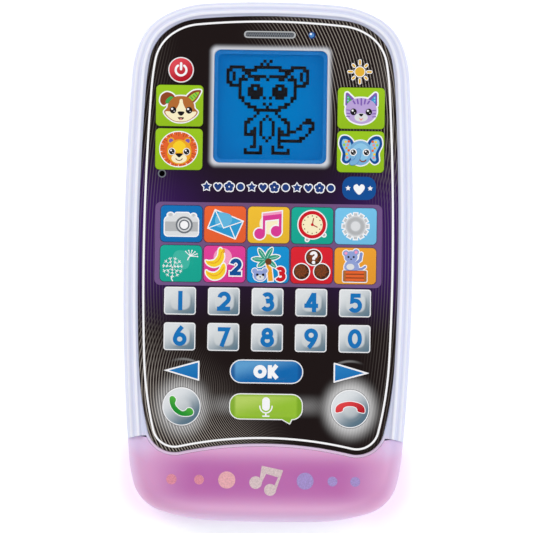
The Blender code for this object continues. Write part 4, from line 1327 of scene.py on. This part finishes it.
def draw_dog(key):
    head = patch((-3.5, 0.9), (-1.8, 2.7), (0.5, 3.1), (2.8, 2.7), (4.5, 0.9), (4.9, -0.8), (5.9, -2.1),
                 (4.9, -3.6), (2.6, -5.0), (0.3, -5.4), (-2.0, -5.0), (-4.0, -3.6), (-5.0, -2.1),
                 (-4.0, -0.8))
    ears = patch((-1.7, 2.7), (-2.6, 3.9), (-4.4, 4.3), (-6.0, 3.2), (-6.3, 1.2), (-5.2, 0.1), (-3.9, 0.9))
    ears += patch((2.2, 2.7), (3.8, 4.5), (5.3, 5.1), (6.9, 5.0), (6.4, 3.6), (5.4, 1.9), (4.0, 1.0))
    key.print(grown(head + ears, 0.45), "white")
    key.print(ears, "rust", 2)
    key.print(patch((-1.9, 2.3), (-3.0, 3.0), (-4.4, 1.8), (-4.5, 0.8), (-3.4, 0.8)), "leaf", 3)
    key.print(patch((2.7, 2.5), (4.6, 4.1), (6.3, 4.5), (5.6, 3.0), (4.0, 1.4)), "lime", 3)
    for x, y in ((3.9, 2.6), (4.8, 3.1), (5.4, 3.8)):
        key.print(stroke([(x - 0.35, y + 0.35), (x + 0.3, y - 0.35)], 0.3), "leaf", 4)
    key.print(head, "tan", 5)
    blaze = patch((-4.6, -2.0), (-2.8, -1.9), (-1.2, -1.2), (-0.2, 0.6), (0.1, 2.0), (0.9, 2.0),
                  (1.2, 0.6), (2.2, -1.2), (3.8, -1.9), (5.5, -2.0), (4.7, -3.5), (2.5, -4.9), (0.4, -5.2),
                  (-1.8, -4.9), (-3.8, -3.5))
    key.print(blaze, "cream", 6)
    eyes(key, ((-2.1, -1.5), (3.1, -1.5)), 1.05, 7)
    key.print(even_patch((1.5, -2.0), (1.2, -2.9), (0.5, -3.3), middle=0.5), "black", 7)
    key.print(even_patch((0.5, -3.8), (1.5, -3.9), (0.9, -4.6), middle=0.5), "dark_brown", 7)
    key.dots("coral", 8, (0.5, -4.4, 0.4, 0.25))


def draw_lion(key):
    mane = solid(oval(-0.1, 0.0, 6.0, 5.6, count=56))
    key.outlined(mane, "orange", 2, 0.35)
    for i in range(40):
        a = 2 * pi * i / 40
        near, name = (5.1, "white") if i % 3 == 0 else (4.3 + 0.4 * (i % 2), "rust")
        mark = [(-0.1 + reach * 1.07 * cos(a), reach * sin(a)) for reach in (near, 5.55)]
        key.print(stroke(mark, 0.16), name, 3)
    for x in (-2.6, 2.8):
        key.dots("amber", 4, (x, 2.7, 1.15))
        key.dots("violet", 5, (x, 2.7, 0.7))
    middle = 0.1
    face = even_patch((0.1, 3.2), (3.1, 2.0), (4.1, -0.4), (3.6, -3.0), (1.8, -4.6), (0.1, -4.9),
                      middle=middle)
    key.print(face, "amber", 6)
    key.print(even_patch((0.1, 2.8), (2.2, 1.2), (1.3, -0.8), (0.1, -1.2), middle=middle), "yellow", 7)
    key.dots("cream", 7, (middle, -3.0, 2.5, 1.6))
    for x in (-2.3, 2.5):
        key.dots("white", 8, (x, -0.8, 1.15, 1.2))
    eyes(key, ((-2.3, -0.8), (2.5, -0.8)), 0.92, 9)
    key.print(even_patch((1.2, -1.5), (0.7, -2.3), (0.1, -2.7), middle=middle), "black", 8)
    key.print(stroke(arc(middle, -2.8, 1.1, 0.9, 200, 340, 14), 0.24), "brown", 8)


def draw_cat(key):
    head = even_patch((0.0, 3.3), (2.2, 3.0), (4.4, 1.6), (5.0, -1.4), (3.4, -4.0), (0.0, -5.1))

    def ear(side, *corners):
        return solid(rounded([(side * x, y, radius) for x, y, radius in corners][::side]))

    ears = [ear(side, (1.7, 2.5, 0.3), (5.2, 0.6, 0.3), (5.1, 5.7, 0.5)) for side in (-1, 1)]
    ears = ears[0] + ears[1]
    key.print(grown(head + ears, 0.5), "white")
    key.print(ears, "violet", 2)
    for side, name in ((-1, "leaf"), (1, "sky")):
        key.print(ear(side, (3.0, 2.4, 0.2), (4.7, 1.4, 0.2), (4.7, 4.7, 0.3)), name, 3)
        for y in (2.5, 3.4):
            key.dots("pale_sky", 4, (side * 4.3, y, 0.3), count=10)
        for y in (-0.6, -1.7, -2.7):
            key.print(stroke([(side * 4.7, y), (side * 3.7, y - 0.1)], 0.3), "violet", 5)
    key.print(head, "lilac", 4)
    for x, top in ((-2.6, 2.3), (-1.3, 2.8), (0.0, 3.1), (1.3, 2.8), (2.6, 2.3)):
        key.print(stroke([(x, top), (x * 0.8, 1.5 if x else 1.1)], 0.5), "violet", 5)
    key.dots("light_grey", 5, (0.0, -3.0, 2.2, 1.4))
    eyes(key, ((-2.5, -1.2), (2.5, -1.2)), 1.05, 6)
    key.print(even_patch((0.7, -1.9), (0.0, -2.7)), "black", 6)
    mouth = stroke(arc(0.0, -3.2, 0.6, 0.4, 190, 350, 10), 0.2) + solid(oval(0.0, -3.7, 0.4, 0.3))
    key.print(mouth, "coral", 6)


def draw_elephant(key):
    head = even_patch((0.0, 3.6), (2.8, 2.4), (3.6, -0.6), (2.4, -3.4), (0.0, -4.4))
    ears, linings = [], []
    outer = ((2.2, 2.6), (4.0, 4.9), (6.3, 4.9), (7.0, 2.4), (5.9, -0.4), (6.0, -3.0), (4.4, -3.9),
             (2.8, -2.0))
    inner = ((3.0, 2.2), (4.3, 3.9), (5.8, 3.9), (6.1, 2.2), (4.9, -0.6), (5.1, -2.6), (4.3, -3.0),
             (3.2, -1.5))
    for side in (-1, 1):
        ears += patch(*[(side * x, y) for x, y in outer])
        linings += patch(*[(side * x, y) for x, y in inner])
    key.print(grown(head + ears, 0.42), "white")
    key.print(ears, "deep_blue", 2)
    key.print(linings, "pale_sky", 3)
    squares = ((3.9, 3.3), (4.9, 3.2), (4.2, 2.2), (5.4, 2.2), (4.6, 1.2), (3.9, 0.4), (4.5, -0.8),
               (4.3, -1.9))
    inks = ("orange", "yellow", "coral", "lime", "amber")
    for i, (x, y) in enumerate(squares):
        for side in (-1, 1):
            key.print(solid(bar(side * x, y, 0.75, 0.75, 0.2)), inks[i % len(inks)], 4)
    key.print(head, "steel_sky", 5)
    brow = patch((-2.9, -0.2), (-2.0, 1.9), (0.2, 2.8), (2.4, 1.6), (2.9, -0.6), (1.6, -2.6), (-1.0, -2.9))
    key.print(brow, "pale_sky", 6)
    trunk = stroke(smooth([(-0.6, 0.2), (-0.8, -1.6), (-1.6, -3.2), (-2.8, -3.6)]), 1.5)
    key.print(grown(trunk, 0.14), "denim", 7)
    key.print(trunk, "steel_sky", 8)
    places = ((-2.4, -0.2), (1.9, -0.2))
    for place in places:
        key.dots("white", 9, (*place, 1.2))
    eyes(key, places, 0.85, 10)
    key.print(stroke(arc(0.8, -2.4, 1.0, 0.8, 200, 340, 12), 0.34), "rust", 9)


def make_power_key():
    node = "key_power"
    red = graded("power_red", "dc4450", "b00d22", 4.5, 0.5)
    piece = cap(node, red, EDGE_PROFILE, soft_bump(0.0, 0.0, 3.6, 3.6, 0.3, 0.5, 2.0), "white", 0.35)
    mark = stroke(arc(0.0, -0.1, 1.75, 1.75, 125, 415, 30), 0.72) + stroke([(0.0, 0.2), (0.0, 2.1)], 0.8)
    piece.print(mark, "white")
    piece.finish(node, node, "power_key")


def make_brightness_key():
    node = "key_brightness"
    piece = cap(node, faceplate_finish("printed_black_key", key_place(node)), FLAT_PROFILE)
    rays = []
    for i in range(8):
        a = radians(45 * i)
        reach = 3.2 if i % 2 else 3.6
        rays += stroke([(2.55 * cos(a), 2.55 * sin(a)), (reach * cos(a), reach * sin(a))], 0.62)
    disc = solid(oval(0.0, 0.0, 1.55))
    piece.print(grown(disc, 0.3), "white")
    piece.print(grown(rays, 0.24), "white")
    piece.print(disc + rays, "gold", 2)
    piece.finish(node, node, "brightness_key")


def make_blue_keys():
    blue = pad_finish("ok_blue", "5c9ccd", "0665ab", "0a4f90", 10.2)
    piece = cap("key_ok", blue, EDGE_PROFILE, soft_bump(0.0, 0.0, 11.3, 3.3, 0.4, 0.55, 2.6), "white", 0.35)
    piece.print(glyph("O", -2.1, 0.0, 4.3, 0.33) + glyph("K", 2.2, 0.0, 4.3, 0.31), "white")
    piece.finish("key_ok", "key_ok", "blue_keys")
    arrow = graded("arrow_blue", "2a7fbf", "0668ae", 5.0, 0.2)
    for node in ARROWS:
        cap(node, arrow, ARROW_PROFILE, None, "white", None).finish(node, node, "blue_keys")


def make_talk_key():
    node = "key_talk"
    green = pad_finish("talk_green", "b4cf62", "93be33", "76a41f", 10.0)
    piece = cap(node, green, EDGE_PROFILE, soft_bump(0.0, 0.2, 11.0, 3.4, 0.4, 0.5, 2.6), "white", 0.35)
    stand = stroke([(0.0, -2.0), (0.0, -3.0)], 0.5) + stroke([(-1.0, -3.05), (1.0, -3.05)], 0.45)
    cradle = stroke(arc(0.0, 0.2, 2.0, 2.2, 180, 360, 20), 0.42)
    for part in (solid(bar(0.0, 0.9, 2.5, 4.4, 1.2)), cradle, stand):
        piece.print(part, "white")
    piece.finish(node, node, "green_key")


CALL_HANDSET = [
    (-3.9, 2.6), (-3.7, 0.7), (-2.6, -1.3), (-0.8, -2.7), (1.2, -3.1), (3.3, -2.8), (3.9, -1.8),
    (3.3, -0.7), (2.1, -0.5), (1.3, -1.3), (0.1, -1.5), (-1.4, -0.3), (-2.1, 0.9), (-1.8, 2.2),
    (-2.5, 3.2), (-3.4, 3.3),
]
HANG_UP_HANDSET = both_sides([
    (0.0, 2.35), (2.8, 1.85), (4.3, 0.9), (4.75, -0.2), (4.6, -1.2), (3.5, -1.1), (2.5, -0.75),
    (2.2, 0.2), (1.3, 0.75), (0.0, 0.9),
])


def make_handset_keys():
    silver = ball_finish()
    green = graded("handset_green", "57b53f", "0f8a2c", 3.5, -0.6)
    red = graded("handset_red", "dd4043", "b20f1c", 3.5)
    dome = soft_bump(0.0, 0.0, 5.75, 5.75, 0.65, 0.0, 2.0)
    for node, points, finish in (("key_call", CALL_HANDSET, green), ("key_hang_up", HANG_UP_HANDSET, red)):
        piece = cap(node, silver, EDGE_PROFILE, dome, "white", 0.33)
        piece.outlined(solid(blob(points, 4)), finish, 2, 0.25)
        piece.finish(node, node, "handset_keys")


# ---- Back ----
def shoulder(depth, steps=12):
    """Steps of (inset, height) round the back's shoulder, depth inside its outer face."""
    run, rise = BACK_SHOULDER
    turns = [pi / 2 * step / steps for step in range(steps + 1)]
    return [(run * (1 - sin(a)) + depth * sin(a), rise * (1 - cos(a)) + depth * cos(a)) for a in turns]


def tab_bars(y, width, height):
    """Rectangles for the battery door's two tabs."""
    return solid(*[bar(side * TAB_REACH, y, width, height, 0.3) for side in (-1, 1)])


def discs(places, radius, count=32):
    return solid(*[oval(*place, radius, count=count) for place in places])


def make_back_case(finish):
    """The back with its battery bay, screw bosses and speaker slots."""
    outer = shoulder(0.0) + [(0.0, 11.5), (0.03, 12.75), (0.25, 13.0)]
    case = shell("back_case_look", case_rings(outer), finish)
    boolean(case, shell("hollow", case_rings(shoulder(WALL, 6) + [(WALL, 20.0)]), finish))
    x, y = BAY
    carve(case, solid(bar(x, y - 2.9, 60.4, 38.2, 1.0)), 1.0, 14.5, "UNION")
    carve(case, discs(CASE_SCREWS, 4.2), 1.4, 13.0, "UNION")
    for figure, low, high in (
        (solid(bar(x, y - 2.9, 58.0, 35.8, 1.5)), BELOW, 2.3),
        (solid(bar(x, y, 52.0, 22.6, 0.5)), BELOW, 13.3),
        (discs([DOOR_SCREW], 4.6), BELOW, 7.8),
        (discs([(DOOR_SCREW[0], DOOR_SCREW[1] - 0.45)], 2.3, 24), BELOW, 11.9),
        (tab_bars(1.95, 6.8, 4.6), 0.9, 3.5),
        (discs(CASE_SCREWS, 3.1), BELOW, 3.5),
        (discs(CASE_SCREWS, 1.7, 20), BELOW, 20.0),
        (speaker_slots(), BELOW, 3.0),
    ):
        carve(case, figure, low, high)
    settle(case, "body", "back_case")


def speaker_slots():
    """Five slots that fill a circle over the speaker."""
    x, y = node_centre("speaker")
    rows = [4.0 * i for i in range(-2, 3)]
    return solid(*[bar(x, y + row, 2 * (11.0 ** 2 - row ** 2) ** 0.5, 1.8, 0.85) for row in rows])


def make_battery_door(finish):
    """The door with its screw cup, four grip grooves and two tabs."""
    outline = corners_of(57.4, 35.2, 1.2, BAY[0], BAY[1] - 2.9)
    profile = ((-0.35, 0.3), (-0.1, 0.38), (0.0, 0.6), (0.0, 2.0))
    door = shell("battery_door_look", [(rounded(outline, grow), z) for grow, z in profile], finish)
    carve(door, discs([DOOR_SCREW], 4.2, 40), 1.0, 3.5, "UNION")
    carve(door, tab_bars(1.8, 6.0, 4.2), 1.2, 1.999, "UNION")
    carve(door, discs([DOOR_SCREW], 3.0, 40), BELOW, 2.3)
    carve(door, discs([DOOR_SCREW], 1.7, 24), BELOW, 9.0)
    grooves = [bar(0.0, -22.6 + 1.9 * i, 16.0 - 3.2 * i, 0.8, 0.38) for i in range(4)]
    carve(door, solid(*grooves), BELOW, 0.75)
    settle(door, "battery_door", "battery_door")


# ---- Inner pieces keep their CAD shapes ----
def paint(node, material):
    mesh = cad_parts[node].data
    mesh.materials.clear()
    mesh.materials.append(material)


def steel_finish():
    """Zinc-plated steel with fine scratches."""
    made = Finish("zinc_steel", 0.32, Metallic=1.0)
    scratch = made.noise(1.5, 4.0)
    made.colour(made.mix(scratch, shaded(rgb("c9cacc"), 0.85), "c9cacc"))
    made.rough(scratch * 0.25 + 0.22)
    made.bump(made.noise(8.0, 2.0), 0.003)
    return made.material


def cell_finish():
    """A dark foil jacket with narrow pale stripes."""
    made = Finish("cell_jacket", 0.3, Metallic=0.4)
    stripe = (made.x * 0.9).wave().fade(0.8, 0.95)
    made.colour(made.mix(stripe, "20242c", "9aa0a8"))
    made.bump(made.noise(3.0), 0.004)
    return made.material


def board_finish():
    """Green solder mask, raised and paler over its tracks."""
    made = Finish("solder_mask", 0.35)
    tracks = (made.x * 2.1).wave().fade(0.75, 0.9).larger((made.y * 1.7).wave().fade(0.85, 0.95))
    made.colour(made.mix(tracks * 0.6, "0f5a2c", "3c8f4c"))
    made.bump(tracks, 0.03)
    return made.material


def paint_inner_pieces():
    steel = steel_finish()
    for node in ("door_screw", "screw_clip", "battery_spring_1", "battery_spring_2", "contact_bridge",
                 "contact_positive", "contact_negative", *(f"case_screw_{i}" for i in (1, 2, 3, 4))):
        paint(node, steel)
    cell = cell_finish()
    paint("battery_1", cell)
    paint("battery_2", cell)
    paint("main_pcb", board_finish())
    for node, name, code, roughness, grain in (
        ("microphone", "black_felt", "161618", 0.9, 0.03),
        ("chip_blob", "chip_epoxy", "17161a", 0.4, 0.02),
        ("key_mat", "grey_silicone", "96979b", 0.6, 0.01),
        ("lcd_tray", "white_tray", "dcdcd8", 0.5, 0.01),
        ("speaker", "speaker_black", "202126", 0.5, 0.02),
        ("bar_led_left", "led_clear_left", "f0e4f4", 0.15, 0.001),
        ("bar_led_right", "led_clear_right", "f0e4f4", 0.15, 0.001),
    ):
        paint(node, moulded(name, code, roughness, grain))


# ---- Stage: metres from here on ----
FLOOR_HALF = 3.0
FLOOR_DROP = 0.0002             # keeps the floor off the phone's back
CAMERA_DISTANCE = 1.8
CAMERA_TILT = 1.6               # degrees towards the phone's bottom end
CAMERA_ROLL = 0.85              # degrees
SENSOR = 36.0                   # the camera's own unit, mm
FRAME_SIZE = 0.1737             # across the picture, at the phone's face
AIM = (-0.0005, -0.0017, 0.024)


def floor_finish():
    """White, with painted pink light that spills a little way round the phone's lit end."""
    made = Finish("floor_white", 0.9, Specular_IOR_Level=0.0)
    pale = made.mix(made.noise(0.002), (0.93, 0.93, 0.93), (0.95, 0.95, 0.95))
    along = (made.x.size() - 33.2).larger(0.0)
    below = ((made.y + 71.0) * -1.0).larger(0.0)
    spill = (along.distance(below) - 14.0).fade(5.5, -2.5).power(1.8) * made.y.fade(-55.0, -66.0)
    tinted = made.mix(spill * 0.5, pale, "ecc8e6")
    made.colour(tinted)
    made.glow(tinted, 0.3)
    return made.material


def make_stage():
    half = FLOOR_HALF
    mesh = bpy.data.meshes.new("floor")
    mesh.from_pydata([(-half, -half, 0), (half, -half, 0), (half, half, 0), (-half, half, 0)], [],
                     [(0, 1, 2, 3)])
    mesh.materials.append(floor_finish())
    floor = bpy.data.objects.new("floor", mesh)
    floor.location.z = -FLOOR_DROP
    bpy.context.scene.collection.objects.link(floor)
    for name, place, power, colour in (
        ("key_light", (-0.75, 0.55, 0.8), 7.7, (1.0, 0.99, 0.97)),
        ("fill_light", (0.8, 0.15, 0.75), 5.4, (0.97, 0.98, 1.0)),
        ("low_light", (0.05, -0.95, 0.7), 3.7, (1.0, 0.98, 1.0)),
    ):
        add_light(name, place, power, colour)
    world = bpy.data.worlds.new("studio")
    world.use_nodes = True
    world.node_tree.nodes["Background"].inputs[0].default_value = (1.0, 1.0, 1.0, 1.0)
    world.node_tree.nodes["Background"].inputs[1].default_value = 0.3
    bpy.context.scene.world = world


def add_light(name, place, power, colour):
    """A square area light that faces the origin."""
    light = bpy.data.lights.new(name, "AREA")
    light.size = 0.7
    light.energy = power
    light.color = colour
    made = bpy.data.objects.new(name, light)
    made.location = place
    made.rotation_euler = (-Vector(place)).to_track_quat("-Z", "Y").to_euler()
    bpy.context.scene.collection.objects.link(made)


def make_camera():
    lens = bpy.data.cameras.new("camera")
    lens.sensor_width = SENSOR
    lens.lens = SENSOR * CAMERA_DISTANCE / FRAME_SIZE
    lens.clip_start = 0.01
    made = bpy.data.objects.new("camera", lens)
    tilt = radians(CAMERA_TILT)
    made.location = Vector(AIM) + CAMERA_DISTANCE * Vector((0.0, -sin(tilt), cos(tilt)))
    made.rotation_euler = (Vector(AIM) - made.location).to_track_quat("-Z", "Y").to_euler()
    made.rotation_euler.rotate_axis("Z", radians(CAMERA_ROLL))
    bpy.context.scene.collection.objects.link(made)
    bpy.context.scene.camera = made
    bpy.context.scene.view_settings.view_transform = "Standard"


make_camera()
make_stage()
lavender = case_finish()
make_front_case(lavender)
make_back_case(lavender)
make_battery_door(lavender)
make_light_bar()
make_faceplate()
make_display()
make_digit_keys()
make_picture_keys()
make_power_key()
make_brightness_key()
make_blue_keys()
make_talk_key()
make_handset_keys()
paint_inner_pieces()
